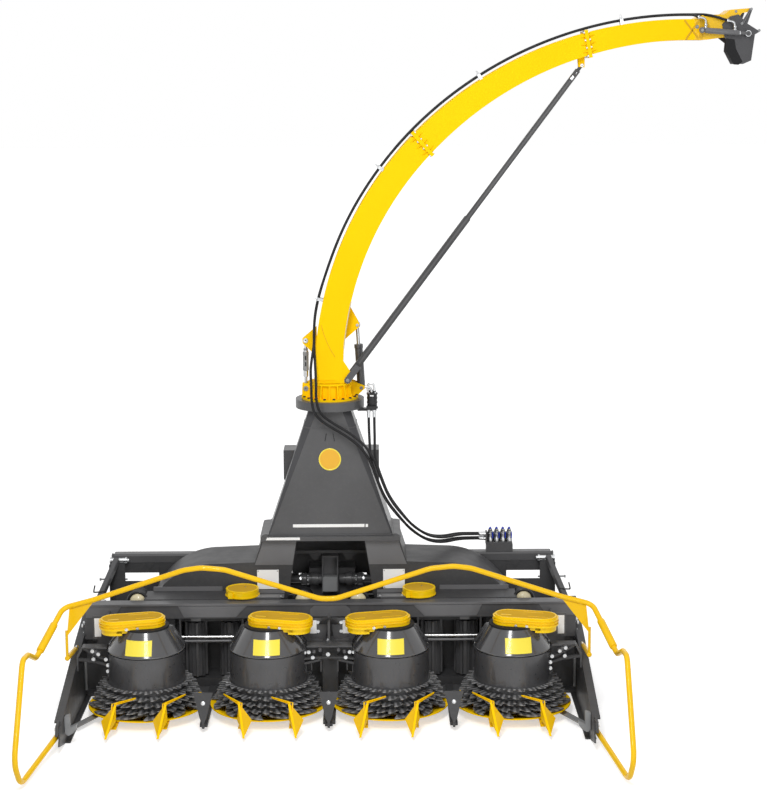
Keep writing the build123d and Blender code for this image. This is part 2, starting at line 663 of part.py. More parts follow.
def tilt_bracket():
    x, z = TILT_TOP
    edge = spout_edge(SPOUT_LOWER[2], SPOUT_LOWER[3], z=z)[0]
    body = fork([(edge - 14, z - 100), (x + 12, z - 14), (x + 14, z + 12), (edge + 24, z + 125)],
                TILT_Y, gap=22)
    return body + cross_pin(x, z, TILT_Y, gap=22)


def turnbuckle():
    x1, z1 = LINK_TOP
    top_eye = disc_y(x1, z1, 20, LINK_Y - 12, LINK_Y + 12) - disc_y(x1, z1, 8.1, LINK_Y - 20, LINK_Y + 20)
    sleeve = rod((LINK_X, LINK_Y, LINK_Z + 80), (x1, LINK_Y, z1 - 70), 17)
    upper = rod((LINK_X, LINK_Y, LINK_Z + 200), (x1, LINK_Y, z1 - 14), 10)
    lower = rod((LINK_X, LINK_Y, LINK_Z + 24), (LINK_X, LINK_Y, LINK_Z + 90), 10)
    foot = plate_y([(LINK_X - 22, LINK_Z - 12), (LINK_X - 22, LINK_Z + 30), (LINK_X + 22, LINK_Z + 30),
                    (LINK_X + 22, LINK_Z - 12), (LINK_X + 13, LINK_Z - 12), (LINK_X + 13, LINK_Z + 9),
                    (LINK_X - 13, LINK_Z + 9), (LINK_X - 13, LINK_Z - 12)], LINK_Y - 12, LINK_Y + 12)
    return top_eye + sleeve + upper + lower + foot


STRUT_TOP = (1696.0, 4182.0)
STRUT_HALF = 22.0


def strut():
    x, z = STRUT_TOP
    length = sqrt((x - HINGE_X) ** 2 + (z - HINGE_Z) ** 2)
    dx, dz = (x - HINGE_X) / length, (z - HINGE_Z) / length

    def box_along(start, end, half):
        p, q = (HINGE_X + dx * start, HINGE_Z + dz * start), (HINGE_X + dx * end, HINGE_Z + dz * end)
        return plate_y([(p[0] - dz * half, p[1] + dx * half), (q[0] - dz * half, q[1] + dx * half),
                        (q[0] + dz * half, q[1] - dx * half), (p[0] + dz * half, p[1] - dx * half)],
                       STRUT_Y - half, STRUT_Y + half)

    eye = box_along(-18, 60, 14) - disc_y(HINGE_X, HINGE_Z, PIN_RADIUS + PIN_FIT, HINGE_NEAR, HINGE_FAR)
    head = box_along(length - 60, length + 16, 11)
    head -= disc_y(x, z, 8.1, HINGE_NEAR, HINGE_FAR)
    return eye + box_along(45, 0.52 * length, STRUT_HALF) + box_along(0.5 * length, length - 40, 17) + head


def strut_lug():
    x, z = STRUT_TOP
    top = spout_edge(SPOUT_UPPER[2], SPOUT_UPPER[3], x=x)[1]
    body = fork([(x - 22, z - 10), (x - 28, top + 2), (x + 18, top + 8), (x + 18, z - 14)], STRUT_Y)
    return body + cross_pin(x, z, STRUT_Y)


def spout_middle():
    lips = [(JOINT_OUT, JOINT_IN, +1), (SECOND_OUT, SECOND_IN, -1)]
    return spout_section(SPOUT_UPPER, (JOINT_OUT, SECOND_OUT), (JOINT_IN, SECOND_IN), lips)


def spout_upper():
    lips = [(SECOND_OUT, SECOND_IN, +1)]
    return spout_section(SPOUT_UPPER, (SECOND_OUT, END_OUT), (SECOND_IN, END_IN), lips, open_below=True)


# The tip: flap hinge and its cylinder's pins, from the spout's end, and outlines as rows of
# offsets (dx, dz), the hood's from the spout's end and the flap's from its hinge.
FLAP_X = SPOUT_END_X + 250.0
FLAP_Z = END_OUT[1] - 27.4
FLAP_PIN = 7.0
FLAP_GAP = 5.0
FLAP_WALL = 6.0
FLAP_CYL_Y = TURN_Y - 160.0
FLAP_CYL_BASE = (FLAP_X - 210.0, FLAP_Z - 45.0)
FLAP_CYL_PIN = (FLAP_X + 93.0, FLAP_Z - 68.0)
HOOD_ROOF = [(52.0, 26.6), (191.0, 29.6), (231.0, 59.6), (370.0, 69.6)]
HOOD_MOUTH = [(343.0, 42.6), (310.0, 38.6), (275.0, -7.4), (270.0, -47.4), (230.0, -77.4),
              (198.0, -118.4), (78.0, -134.4)]
FLAP_SIDE = [(-72.0, -8.0), (-19.0, 44.0), (34.0, 56.0), (67.0, 24.0), (110.0, 95.0), (126.0, 91.0),
             (95.0, -4.0), (179.0, -55.0), (146.0, -74.0), (126.0, -242.0), (73.0, -265.0),
             (34.0, -265.0), (-13.0, -180.0), (-9.0, -127.0), (-52.0, -94.0)]
FLAP_BACK = [(110.0, -32.0), (179.0, -55.0), (146.0, -74.0), (126.0, -242.0), (119.0, -241.0),
             (138.0, -78.0)]


def moved_to(origin, rows, drop=0.0):
    return [(origin[0] + dx, origin[1] + dz - drop) for dx, dz in rows]


def tip_hood():
    """Roof and cheeks over the spout's open end, with the flap's hinge pins on the cheeks."""
    start = (SPOUT_END_X + 0.1, END_OUT[1])
    roof = moved_to((SPOUT_END_X, END_OUT[1]), HOOD_ROOF)
    mouth = moved_to((SPOUT_END_X, END_OUT[1]), HOOD_MOUTH)
    side = [start] + roof + mouth + [(SPOUT_END_X + 2.1, END_IN[1])]
    under = moved_to((SPOUT_END_X, END_OUT[1]), HOOD_ROOF, drop=6.0)
    top = [start] + roof + under[::-1] + [(start[0], start[1] - 6)]
    cheeks = [plate_y(side, TURN_Y + s * HALF - (SPOUT_WALL if s > 0 else 0),
                      TURN_Y + s * HALF + (0 if s > 0 else SPOUT_WALL)) for s in (-1, 1)]
    pins = disc_y(FLAP_X, FLAP_Z, FLAP_PIN, TURN_Y - HALF - 16, TURN_Y - HALF + 2)
    pins += disc_y(FLAP_X, FLAP_Z, FLAP_PIN, TURN_Y + HALF - 2, TURN_Y + HALF + 16)
    base = disc_y(FLAP_CYL_BASE[0], FLAP_CYL_BASE[1], FLAP_PIN, FLAP_CYL_Y - 14, TURN_Y - HALF + 2)
    return plate_y(top, TURN_Y - HALF, TURN_Y + HALF) + cheeks + pins + base


def flap():
    inner = TURN_Y - HALF - FLAP_GAP
    outer = TURN_Y + HALF + FLAP_GAP
    side = moved_to((FLAP_X, FLAP_Z), FLAP_SIDE)
    cheeks = plate_y(side, inner - FLAP_WALL, inner) + plate_y(side, outer, outer + FLAP_WALL)
    cheeks -= disc_y(FLAP_X, FLAP_Z, FLAP_PIN + PIN_FIT, inner - 50, outer + 50)
    back = plate_y(moved_to((FLAP_X, FLAP_Z), FLAP_BACK), inner - FLAP_WALL, outer + FLAP_WALL)
    pin = disc_y(FLAP_CYL_PIN[0], FLAP_CYL_PIN[1], 5, FLAP_CYL_Y - 14, inner)
    return cheeks + back + pin


def cylinder_parts(base, tip, y, barrel_radius, rod_radius, barrel_length, base_pin, tip_pin, eye):
    """Barrel with its base eye, and rod with its eye, along the line from base to tip."""
    (x0, z0), (x1, z1) = base, tip
    length = sqrt((x1 - x0) ** 2 + (z1 - z0) ** 2)
    dx, dz = (x1 - x0) / length, (z1 - z0) / length

    def at(s):
        return (x0 + dx * s, y, z0 + dz * s)

    barrel = disc_y(x0, z0, base_pin + 12, y - eye, y + eye) + rod(at(base_pin + 6), at(barrel_length), barrel_radius)
    barrel -= disc_y(x0, z0, base_pin + PIN_FIT, y - 60, y + 60)
    barrel -= rod(at(base_pin + 30), at(barrel_length + 1), rod_radius + 0.3)
    tip_bore = tip_pin + EYE_CLEAR
    piston = disc_y(x1, z1, tip_bore + 8, y - eye, y + eye) + rod(at(0.5 * barrel_length), at(length), rod_radius)
    piston -= disc_y(x1, z1, tip_bore, y - 60, y + 60)
    return barrel, piston


# ---- rear frame -----------------------------------------------------------------------
def rear_bar():
    bar = block(-BEAM_HALF, BEAM_HALF, REAR_BAR_FRONT, REAR_BAR_REAR, REAR_BAR_BOTTOM, REAR_BAR_TOP)
    return bar - block(-BEAM_HALF - 1, BEAM_HALF + 1, REAR_BAR_FRONT + 8, REAR_BAR_REAR - 8,
                       REAR_BAR_BOTTOM + 8, REAR_BAR_TOP - 8)


def pin_sleeve():
    y = (REAR_BAR_FRONT + REAR_BAR_REAR) / 2
    z = (REAR_BAR_BOTTOM + REAR_BAR_TOP) / 2
    return disc_x(y, z, 42, BEAM_HALF, SIDE_X - 12)


def rear_arm():
    return block(THROAT_X - 50, THROAT_X + 50, HOUSING_REAR, REAR_BAR_FRONT,
                 REAR_BAR_BOTTOM + 10, REAR_BAR_TOP - 10)


def side_strut():
    return plate_x([(720, 430), (770, 420), (REAR_BAR_REAR, 720), (REAR_BAR_REAR, 800), (REAR_BAR_FRONT + 10, 800),
                    (720, 500)], SIDE_X - 12, SIDE_X)


def headstock():
    top_box = block(-336, 336, HEAD_FRONT, REAR_BAR_REAR, 1320, 1530)
    top_box -= block(-324, 324, HEAD_FRONT + 12, REAR_BAR_REAR - 12, 1300, 1518)
    upright = block(256, 336, REAR_BAR_FRONT, REAR_BAR_REAR, REAR_BAR_TOP, 1320)
    brace = block(-256, 256, REAR_BAR_FRONT, REAR_BAR_REAR, TOP_LINK_Z - 45, TOP_LINK_Z + 45)
    return top_box + upright + mirrored(upright) + brace


def top_link_bracket():
    ear = plate_x([(REAR_BAR_REAR, TOP_LINK_Z - 45), (HITCH_Y, TOP_LINK_Z - 34), (HITCH_Y + 34, TOP_LINK_Z),
                   (HITCH_Y, TOP_LINK_Z + 34), (REAR_BAR_REAR, TOP_LINK_Z + 45)],
                  HITCH_GAP + 6, HITCH_GAP + 6 + HITCH_PLATE)
    bore = disc_x(HITCH_Y, TOP_LINK_Z, TOP_LINK_BORE, -100, 100)
    return [ear - bore, mirrored(ear) - bore]


def hitch_plates(side):
    plates = []
    for offset in (-HITCH_GAP - HITCH_PLATE, HITCH_GAP):
        x0 = HITCH_X + offset
        plate = plate_x([(REAR_BAR_FRONT, REAR_BAR_BOTTOM), (REAR_BAR_REAR, REAR_BAR_BOTTOM),
                         (HITCH_Y + 45, HITCH_Z + 50), (HITCH_Y + 45, HITCH_Z - 45),
                         (HITCH_Y - 40, HITCH_Z - 45), (REAR_BAR_FRONT, 620)], x0, x0 + HITCH_PLATE)
        plate -= disc_x(HITCH_Y, HITCH_Z, HITCH_BORE, x0 - 1, x0 + HITCH_PLATE + 1)
        plates.append(plate if side > 0 else mirrored(plate))
    return plates


GEARBOX_FRONT = HEAD_FRONT - 90.0
GEARBOX_REAR = REAR_BAR_FRONT + 30.0
DRIVE_Z = 500.0


def gearbox():
    return block(-160, 160, GEARBOX_FRONT, GEARBOX_REAR, 380, 700)


def drive_tube():
    tube = disc_x(HOUSING_REAR + 45, DRIVE_Z, 38, 160, THROAT_X - 100)
    return tube + block(THROAT_X - 100, THROAT_X + 100, HOUSING_REAR, HOUSING_REAR + 85, 400, 600)


def pto_shaft():
    return disc_y(0, DRIVE_Z, PTO_RADIUS, GEARBOX_REAR, GEARBOX_REAR + 120)


def stand_sleeve(side):
    x = side * STAND_X
    half = STAND_LEG / 2 + STAND_WALL
    inner = STAND_LEG / 2 + 0.5
    y = REAR_BAR_REAR + half
    sleeve = block(x - half, x + half, y - half, y + half, 690, 840)
    return sleeve - block(x - inner, x + inner, y - inner, y + inner, 689, 841)


def stand(side):
    x = side * STAND_X
    y = REAR_BAR_REAR + STAND_LEG / 2 + STAND_WALL
    half = STAND_LEG / 2
    leg = block(x - half, x + half, y - half, y + half, 10, 960)
    return leg + block(x - 80, x + 80, y - 80, y + 80, 0, 10)


HOSE_END_X = 1096.0         # side face of the coupler stand


def coupler_stand():
    y = REAR_BAR_FRONT + REAR_BAR_DEPTH / 2
    shelf = block(HOSE_END_X, HOSE_END_X + 192, y - 30, y + 30, REAR_BAR_TOP, REAR_BAR_TOP + 14)
    back = block(HOSE_END_X, HOSE_END_X + 192, y + 22, y + 30, REAR_BAR_TOP, REAR_BAR_TOP + 80)
    ports = block(HOSE_END_X, HOSE_END_X + 12, y - 30, y + 30, REAR_BAR_TOP, REAR_BAR_TOP + 90)
    couplers = [disc(x, y, 16, REAR_BAR_TOP + 14, REAR_BAR_TOP + 100) for x in (1130, 1175, 1220, 1265)]
    return shelf + back + ports + couplers


# ---- guard ----------------------------------------------------------------------------
# Route of the guard's left half, from the side plate's foot round the side loop and up to
# the cross bar: x, y, z and bend radius.
GUARD_ROUTE = [
    (-SIDE_X - 27.3, -540, 84, 0), (-SIDE_X - 29, -690, 98, 120), (-SIDE_X - 140, -1330, 34, 110),
    (-SIDE_X - 150, -1447, 205, 110), (-SIDE_X - 150, -1072, 712, 90), (-SIDE_X - 150, -900, 690, 150),
    (-SIDE_X - 150, -645, 585, 90), (-SIDE_X - 40, GUARD_Y, 791, 70), (-SIDE_X + 159, GUARD_Y, 844, 200),
    (-915, GUARD_Y, 1034, 250), (-805, GUARD_Y, 1049, 250),
    (-656, GUARD_Y, 1035, 250), (-51, GUARD_Y, 840, 220),
]


def crop_guard():
    left = [p[:3] for p in GUARD_ROUTE]
    right = [(-x, y, z) for x, y, z in reversed(left)]
    radii = [p[3] for p in GUARD_ROUTE[1:]]
    path = FilletPolyline(*(left + right), radius=radii + radii[::-1])
    start = Plane(origin=path @ 0, z_dir=path % 0)
    return sweep(start * Circle(GUARD_RADIUS), path=path)


def guard_support():
    """Triangular plate under the cross bar with the bent rod that carries it."""
    plate = plate_y([(-SIDE_X, 783.4), (-SIDE_X + 150, 823.4), (-SIDE_X - 22, 600)], GUARD_Y - 4, GUARD_Y + 4)
    bend = (-SIDE_X - 24, GUARD_Y, 459)
    down = rod((-SIDE_X - 23, GUARD_Y, 640), bend, 9)
    back = rod(bend, (-SIDE_X - 24, 150, 408), 9)
    knuckle = Pos(*bend) * Sphere(9)
    return plate + down + back + knuckle


# ---- hoses ----------------------------------------------------------------------------
HOSE_RADIUS = 9.0
HOSE_LIFT = 1.7            # clearance over the lips' corners, which stand out of round


HOSE_OFF_SPOUT = 2031.9     # height where the spout's hoses meet the free ones


def spout_hose(y, low_x, low_y):
    """Hose clipped along the spout's outer edge; its lower end leans out over the turntable."""
    (oc, orad, _, _) = SPOUT_LOWER
    (uc, urad, _, _) = SPOUT_UPPER
    reach = SPOUT_LIP + HOSE_RADIUS + HOSE_LIFT

    def lower(z):
        x, z = spout_edge(oc, orad + reach, z=z)
        return (x, y, z)

    def upper(x):
        x, z = spout_edge(uc, urad + reach, x=x)
        return (x, y, z)

    edge = lower(2480.0)
    points = [(low_x, low_y, HOSE_OFF_SPOUT), (low_x, low_y + 2, HOSE_OFF_SPOUT + 44),
              (low_x - 4, low_y + 0.3 * (y - low_y), 2170.0),
              (edge[0] - 4, low_y + 0.85 * (y - low_y), 2345.0), edge]
    points += [lower(z) for z in (2800.0, 3100.0, 3400.0)]
    points += [upper(x) for x in (640.0, 900.0, 1200.0, 1500.0, 1800.0, 2100.0, 2420.0)]
    path = Spline(*points)
    return sweep(Plane(origin=path @ 0, z_dir=path % 0) * Circle(HOSE_RADIUS), path=path)


# Free hoses, each from where it leaves the object: x, y, z of the route's corners.
HOSE_ROUTES = {
    "hose_spout_1": [
        (HOSE_END_X, 1232, 850), (1000, 1232, 850), (900, 1150, 868), (797, 1000, 884),
        (716, 880, 918), (648, 770, 968), (566, 670, 1048), (490, 596, 1140), (380, 597, 1275),
        (322, 600, 1415), (280, 601, 1545), (215, 605, 1648), (110, 615, 1728), (8, 620, 1786),
        (-80, 612, 1850), (-118, 590, 1930), (-118, 590, 2030),
    ],
    "hose_spout_2": [
        (HOSE_END_X, 1232, 882), (1002, 1232, 882), (908, 1152, 902), (806, 1002, 918),
        (724, 880, 951), (657, 768, 1000), (577, 664, 1078), (506, 590, 1164), (405, 594, 1290),
        (350, 598, 1424), (306, 600, 1560), (234, 604, 1672), (124, 614, 1755), (24, 620, 1812),
        (-52, 612, 1870), (-86, 582, 1950), (-86, 582, 2030),
    ],
    "hose_motor_1": [
        (266, 726, TOWER_TOP), (266, 726, 1790), (270, 668, 1690), (277, 632, 1560),
        (319, 630, 1428), (374, 629, 1288), (478, 634, 1150), (550, 704, 1050), (632, 804, 970),
        (700, 914, 920), (781, 1034, 886), (884, 1182, 868), (990, 1262, 850),
        (HOSE_END_X, 1262, 850),
    ],
    "hose_motor_2": [
        (304, 726, TOWER_TOP), (304, 726, 1795), (306, 668, 1694), (305, 632, 1572),
        (348, 630, 1438), (400, 628, 1304), (494, 630, 1176), (561, 700, 1080), (641, 802, 1002),
        (708, 914, 953), (789, 1036, 920), (892, 1184, 902), (994, 1262, 882),
        (HOSE_END_X, 1262, 882),
    ],
}


def free_hose(name, route):
    """Round tube along the route, each corner rounded to suit its shorter run."""
    points = [Vector(*p) for p in route]
    radii = []
    for before, corner, after in zip(points, points[1:], points[2:]):
        turn = (corner - before).get_angle(after - corner)
        run = min((corner - before).length, (after - corner).length)
        radii.append(0.45 * run / tan(radians(turn) / 2))
    print(name, "bend radii", [round(r) for r in radii])
    path = FilletPolyline(*points, radius=radii)
    return sweep(Plane(origin=path @ 0, z_dir=path % 0) * Circle(HOSE_RADIUS), path=path)


# ---- build ------------------------------------------------------------------------------
def build():
    for number, (x, sense, lobe) in enumerate(ROTORS, start=1):
        save(f"rotor_{number}", rotor_drum(x, sense) + rotor_knives(x, sense))
    dishes, fins = [], []
    for x, sense, _ in ROTORS:
        flip = sense < 0
        dish = skid_dish(0)
        dishes.append(Pos(x, 0, 0) * (mirrored(dish) if flip else dish))
        for tip_x, bend_x, arm_end in FINS:
            fin = divider_fin(tip_x, bend_x, arm_end)
            fins.append(Pos(x, 0, 0) * (mirrored(fin) if flip else fin))
    save("skid_dishes", *dishes)
    save("divider_fins", *fins)
    save("drum_hoods", *[hood(x) for x, _, _ in ROTORS])
    save("hood_caps", *[hood_cap(x, lobe) for x, _, lobe in ROTORS])
    save("floor_pan", floor_pan())
    save("centre_skid", centre_skid())
    save("tongues", *[tongue(x) for x in (-ROTOR_PITCH, 0, ROTOR_PITCH)])
    save("front_beam", front_beam())
    save("back_panels", *back_panels())
    save("strippers", *strippers())
    save("side_plates", side_plate(), mirrored(side_plate()))
    save("side_shoes", side_shoe(), mirrored(side_shoe()))
    save("chopper_housings", chopper_housing(), mirrored(chopper_housing()))
    save("feed_boxes", feed_box(), mirrored(feed_box()))
    rollers = [-THROAT_X - ROLLER_OFFSET, -THROAT_X + ROLLER_OFFSET,
               THROAT_X - ROLLER_OFFSET, THROAT_X + ROLLER_OFFSET]
    for number, x in enumerate(rollers, start=1):
        save(f"feed_roller_{number}", feed_roller(x))
    save("throat_bars", *[throat_bar(x, z) for x in (-THROAT_X, THROAT_X) for z in (362, 392)])
    save("roller_caps", roller_cap(-600), roller_cap(600))
    save("shaft_guards", *[shaft_guard(x) for x in (-1345, -190, 190, 1345)])
    save("guard_domes", *[guard_dome(x) for x in (-1345, -190, 190, 1345)])
    save("tower_chute", tower() + tower_flange())
    save("turntable_ring", turntable_ring())
    save("swivel_motor", swivel_motor())
    save("spout_collar", collar())
    lower = spout_lower()
    for piece in hinge_lugs() + [link_bracket(), tilt_bracket()]:
        lower += piece
    save("spout_lower", lower - spout_band(SPOUT_LOWER, (BASE_OUT, JOINT_OUT), (BASE_IN, JOINT_IN),
                                           HALF - SPOUT_WALL, -SPOUT_WALL))
    save("spout_middle", spout_middle() + strut_lug())
    save("spout_upper", spout_upper())
    save("spout_tip_hood", tip_hood())
    save("spout_strut", strut())
    save("turnbuckle", turnbuckle())
    barrel, piston = cylinder_parts((TILT_X, TILT_Z), TILT_TOP, TILT_Y, 27.5, 12.5, 295, 8, 8, 19)
    save("tilt_cylinder", barrel)
    save("tilt_rod", piston)
    save("spout_flap", flap())
    barrel, piston = cylinder_parts(FLAP_CYL_BASE, FLAP_CYL_PIN, FLAP_CYL_Y, 13, 6, 245, FLAP_PIN, 5, 10)
    save("flap_cylinder", barrel)
    save("flap_rod", piston)
    save("spout_hoses", spout_hose(TURN_Y - 100, -118, 590), spout_hose(TURN_Y - 80, -86, 582))
    for name, route in HOSE_ROUTES.items():
        save(name, free_hose(name, route))
    save("rear_bar", rear_bar() + [rear_arm(), mirrored(rear_arm())] + [stand_sleeve(1), stand_sleeve(-1)])
    save("pin_sleeves", pin_sleeve(), mirrored(pin_sleeve()))
    save("side_struts", side_strut(), mirrored(side_strut()))
    save("headstock", headstock())
    save("hitch_plates", *(hitch_plates(1) + hitch_plates(-1) + top_link_bracket()))
    save("gearbox", gearbox())
    save("drive_tubes", drive_tube(), mirrored(drive_tube()))
    save("pto_shaft", pto_shaft())
    save("stand_right", stand(1))
    save("stand_left", stand(-1))
    save("coupler_stand", coupler_stand())
    save("crop_guard", crop_guard())
    save("guard_supports", guard_support(), mirrored(guard_support()))


build()
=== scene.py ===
"""Looks for a tractor-mounted forage harvester: paint and steel for its frame, hydraulic
hoses, bolts, plates, clips and fittings, on a pale studio floor. Metres, in the frame's axes.
"""

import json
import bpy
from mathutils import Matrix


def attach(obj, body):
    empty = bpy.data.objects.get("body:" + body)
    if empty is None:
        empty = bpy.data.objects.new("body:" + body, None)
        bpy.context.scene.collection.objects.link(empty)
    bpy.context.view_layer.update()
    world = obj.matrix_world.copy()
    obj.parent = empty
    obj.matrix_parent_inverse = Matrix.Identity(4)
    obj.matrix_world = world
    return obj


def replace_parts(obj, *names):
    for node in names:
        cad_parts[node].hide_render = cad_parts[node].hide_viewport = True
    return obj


bl_info = {
    "name": "Forage Harvester Looks",
    "version": (1, 0, 0),
    "blender": (4, 5, 0),
    "location": "View3D > Sidebar > Harvester",
    "description": "Finishes, hoses, bolts and fittings of a mounted forage harvester",
    "category": "Object",
}

from math import cos, pi, radians, sin, sqrt

import bmesh
import bpy
from mathutils import Matrix, Vector

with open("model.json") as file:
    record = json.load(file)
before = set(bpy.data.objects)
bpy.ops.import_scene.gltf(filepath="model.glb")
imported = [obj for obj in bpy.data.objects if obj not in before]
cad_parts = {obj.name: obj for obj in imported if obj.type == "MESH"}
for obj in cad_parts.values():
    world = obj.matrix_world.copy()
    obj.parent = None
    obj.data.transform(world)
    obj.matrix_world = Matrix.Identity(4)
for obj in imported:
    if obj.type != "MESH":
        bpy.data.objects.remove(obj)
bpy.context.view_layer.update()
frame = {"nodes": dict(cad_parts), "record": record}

ROTOR_X = (-1.2, -0.4, 0.4, 1.2)
DRUMS = tuple(zip(ROTOR_X, (-1, 1, -1, 1)))
TURN_Y = 0.87
SIDES = (-1, 1)
UP, FRONT, BACK = (0, 0, 1), (0, -1, 0), (0, 1, 0)
ROLLER_X, ROLLER_Y = (-0.6, 0.6), 0.515
HOUSING_X, HOUSING_Z, HOUSING_RADIUS = 0.8, 0.343, 0.486
BEAM_FRONT_Y = 0.33
DUCT_FRONT_Y = 0.64
WHITE_PLATE_Y = 0.636
SPOUT_NEAR_Y = 0.76
SPLINE_Z = 0.5
DOME_Z = 0.612
STAND_X = 0.9
MOTOR_X, MOTOR_Y = 0.29, 0.77
FLAP_PIN_LOW, FLAP_PIN_HIGH = (2.47, 0.71, 4.405), (2.773, 0.71, 4.382)
BEAD_LOW, BEAD_HIGH = 2.3, 2.62
NODES = frame["nodes"]


# ---- settings -------------------------------------------------------------------------
class HarvesterColours(bpy.types.PropertyGroup):
    yellow: bpy.props.FloatVectorProperty(
        name="Yellow Paint", description="Spout, caps, fins and guard", subtype="COLOR",
        size=3, default=(0.98, 0.61, 0.0015))
    dark: bpy.props.FloatVectorProperty(
        name="Dark Grey Paint", description="Frame, tower and choppers", subtype="COLOR",
        size=3, default=(0.08, 0.08, 0.083))
    drum: bpy.props.FloatVectorProperty(
        name="Drum Paint", description="Rotors and their hoods", subtype="COLOR",
        size=3, default=(0.05, 0.05, 0.053))
    grey: bpy.props.FloatVectorProperty(
        name="Mid Grey Paint", description="Strut, cylinders and flap", subtype="COLOR",
        size=3, default=(0.075, 0.075, 0.08))
    steel: bpy.props.FloatVectorProperty(
        name="Plated Steel", description="Bolts, clips and fittings", subtype="COLOR",
        size=3, default=(0.62, 0.63, 0.64))


class HarvesterSizes(bpy.types.PropertyGroup):
    bolt: bpy.props.FloatProperty(
        name="Bolt Head", description="Radius of a flange bolt's head", unit="LENGTH",
        default=0.011)
    hose: bpy.props.FloatProperty(
        name="Hose", description="Radius of a hydraulic hose", unit="LENGTH", default=0.009)
    decal: bpy.props.FloatProperty(
        name="Tower Disc", description="Radius of the plain disc on the tower", unit="LENGTH",
        default=0.076)
    plate: bpy.props.FloatProperty(
        name="Plate Thickness", description="Thickness of the blank plates", unit="LENGTH",
        default=0.0015)


# ---- materials ------------------------------------------------------------------------
class Shader:
    """A material's node tree with a few short calls."""

    def __init__(self, name, colour, rough, metal=0.0, coat=0.0):
        self.made = bpy.data.materials.new(name)
        self.made.use_nodes = True
        self.made.diffuse_color = (*colour[:3], 1)
        self.tree = self.made.node_tree
        self.surface = self.tree.nodes["Principled BSDF"]
        self.surface.inputs["Base Color"].default_value = (*colour[:3], 1)
        self.surface.inputs["Roughness"].default_value = rough
        self.surface.inputs["Metallic"].default_value = metal
        self.surface.inputs["Coat Weight"].default_value = coat
        self.place = self.tree.nodes.new("ShaderNodeTexCoord").outputs["Object"]

    def node(self, kind, **settings):
        made = self.tree.nodes.new(kind)
        for key, value in settings.items():
            setattr(made, key, value)
        return made

    def link(self, a, b):
        self.tree.links.new(a, b)

    def noise(self, scale, detail=4.0, rough=0.5, place=None):
        made = self.node("ShaderNodeTexNoise")
        made.inputs["Scale"].default_value = scale
        made.inputs["Detail"].default_value = detail
        made.inputs["Roughness"].default_value = rough
        self.link(place or self.place, made.inputs["Vector"])
        return made.outputs["Fac"]

    def spread(self, value, low, high, start=0.3, end=0.7):
        made = self.node("ShaderNodeMapRange")
        for key, number in (("From Min", start), ("From Max", end), ("To Min", low), ("To Max",
                high)):
            made.inputs[key].default_value = number
        self.link(value, made.inputs["Value"])
        return made.outputs["Result"]

    def mix(self, factor, a, b):
        made = self.node("ShaderNodeMix", data_type="RGBA")
        self.link(factor, made.inputs["Factor"])
        for socket, value in ((made.inputs["A"], a), (made.inputs["B"], b)):
            if isinstance(value, tuple):
                socket.default_value = (*value[:3], 1)
            else:
                self.link(value, socket)
        return made.outputs["Result"]

    def bump(self, value, strength, distance):
        made = self.node("ShaderNodeBump")
        made.inputs["Strength"].default_value = strength
        made.inputs["Distance"].default_value = distance
        self.link(value, made.inputs["Height"])
        self.link(made.outputs["Normal"], self.surface.inputs["Normal"])

    def colour(self, value):
        self.link(value, self.surface.inputs["Base Color"])

    def rough(self, value):
        self.link(value, self.surface.inputs["Roughness"])


def shade(colour, factor):
    return tuple(min(1.0, part * factor) for part in colour[:3])


def paint(name, colour, rough, coat=0.35, mottle=0.12, dust=0.0, gleam=0.3):
    """Sprayed paint: faint orange peel, cloudy tone and a little dust in specks."""
    look = Shader(name, colour, rough, coat=coat)
    look.surface.inputs["Specular IOR Level"].default_value = gleam
    look.surface.inputs["Coat Roughness"].default_value = 0.06
    look.surface.inputs["Coat IOR"].default_value = 2.0 if coat > 0.9 else 1.5
    cloud = look.noise(2.6, 3.0)
    tone = look.mix(look.spread(cloud, 0, 1), shade(colour, 1 - mottle), shade(colour, 1 + mottle))
    if dust:
        speck = look.spread(look.noise(38.0, 6.0, 0.7), 0, dust, 0.5, 0.75)
        tone = look.mix(speck, tone, (0.3, 0.28, 0.25))
    look.colour(tone)
    look.rough(look.spread(look.noise(9.0, 5.0), rough - 0.05, rough + 0.07))
    look.bump(look.noise(420.0, 2.0), 0.06, 0.0006)
    return look.made


def cap_finish(name, colour):
    """Glossy yellow plastic, a little faded."""
    look = Shader(name, colour, 0.34, coat=0.15)
    look.surface.inputs["Specular IOR Level"].default_value = 0.2
    look.colour(look.mix(look.spread(look.noise(3.0), 0, 1), shade(colour, 0.93), colour))
    look.rough(look.spread(look.noise(30.0), 0.3, 0.42))
    look.bump(look.noise(300.0, 3.0), 0.06, 0.0005)
    return look.made


def bar_finish(name, colour, split):
    """Bright steel above a height and grey paint below it."""
    look = Shader(name, colour, 0.3)
    parts = look.node("ShaderNodeSeparateXYZ")
    look.link(look.place, parts.inputs["Vector"])
    above = look.spread(parts.outputs["Z"], 0, 1, split - 0.001, split + 0.001)
    scuffed = look.mix(look.spread(look.noise(40.0, 5.0), 0, 1), shade(colour, 0.8), colour)
    look.colour(look.mix(above, (0.16, 0.16, 0.165), scuffed))
    look.link(above, look.surface.inputs["Metallic"])
    look.rough(look.spread(look.noise(55.0), 0.24, 0.4))
    look.bump(look.noise(260.0, 3.0), 0.08, 0.0004)
    return look.made


def plated(name, colour, rough, streak=60.0):
    look = Shader(name, colour, rough, metal=1.0)
    look.colour(look.mix(look.spread(look.noise(22.0, 5.0), 0, 1), shade(colour, 0.78), colour))
    look.rough(look.spread(look.noise(streak, 3.0), rough - 0.06, rough + 0.1))
    look.bump(look.noise(300.0, 3.0), 0.08, 0.0004)
    return look.made


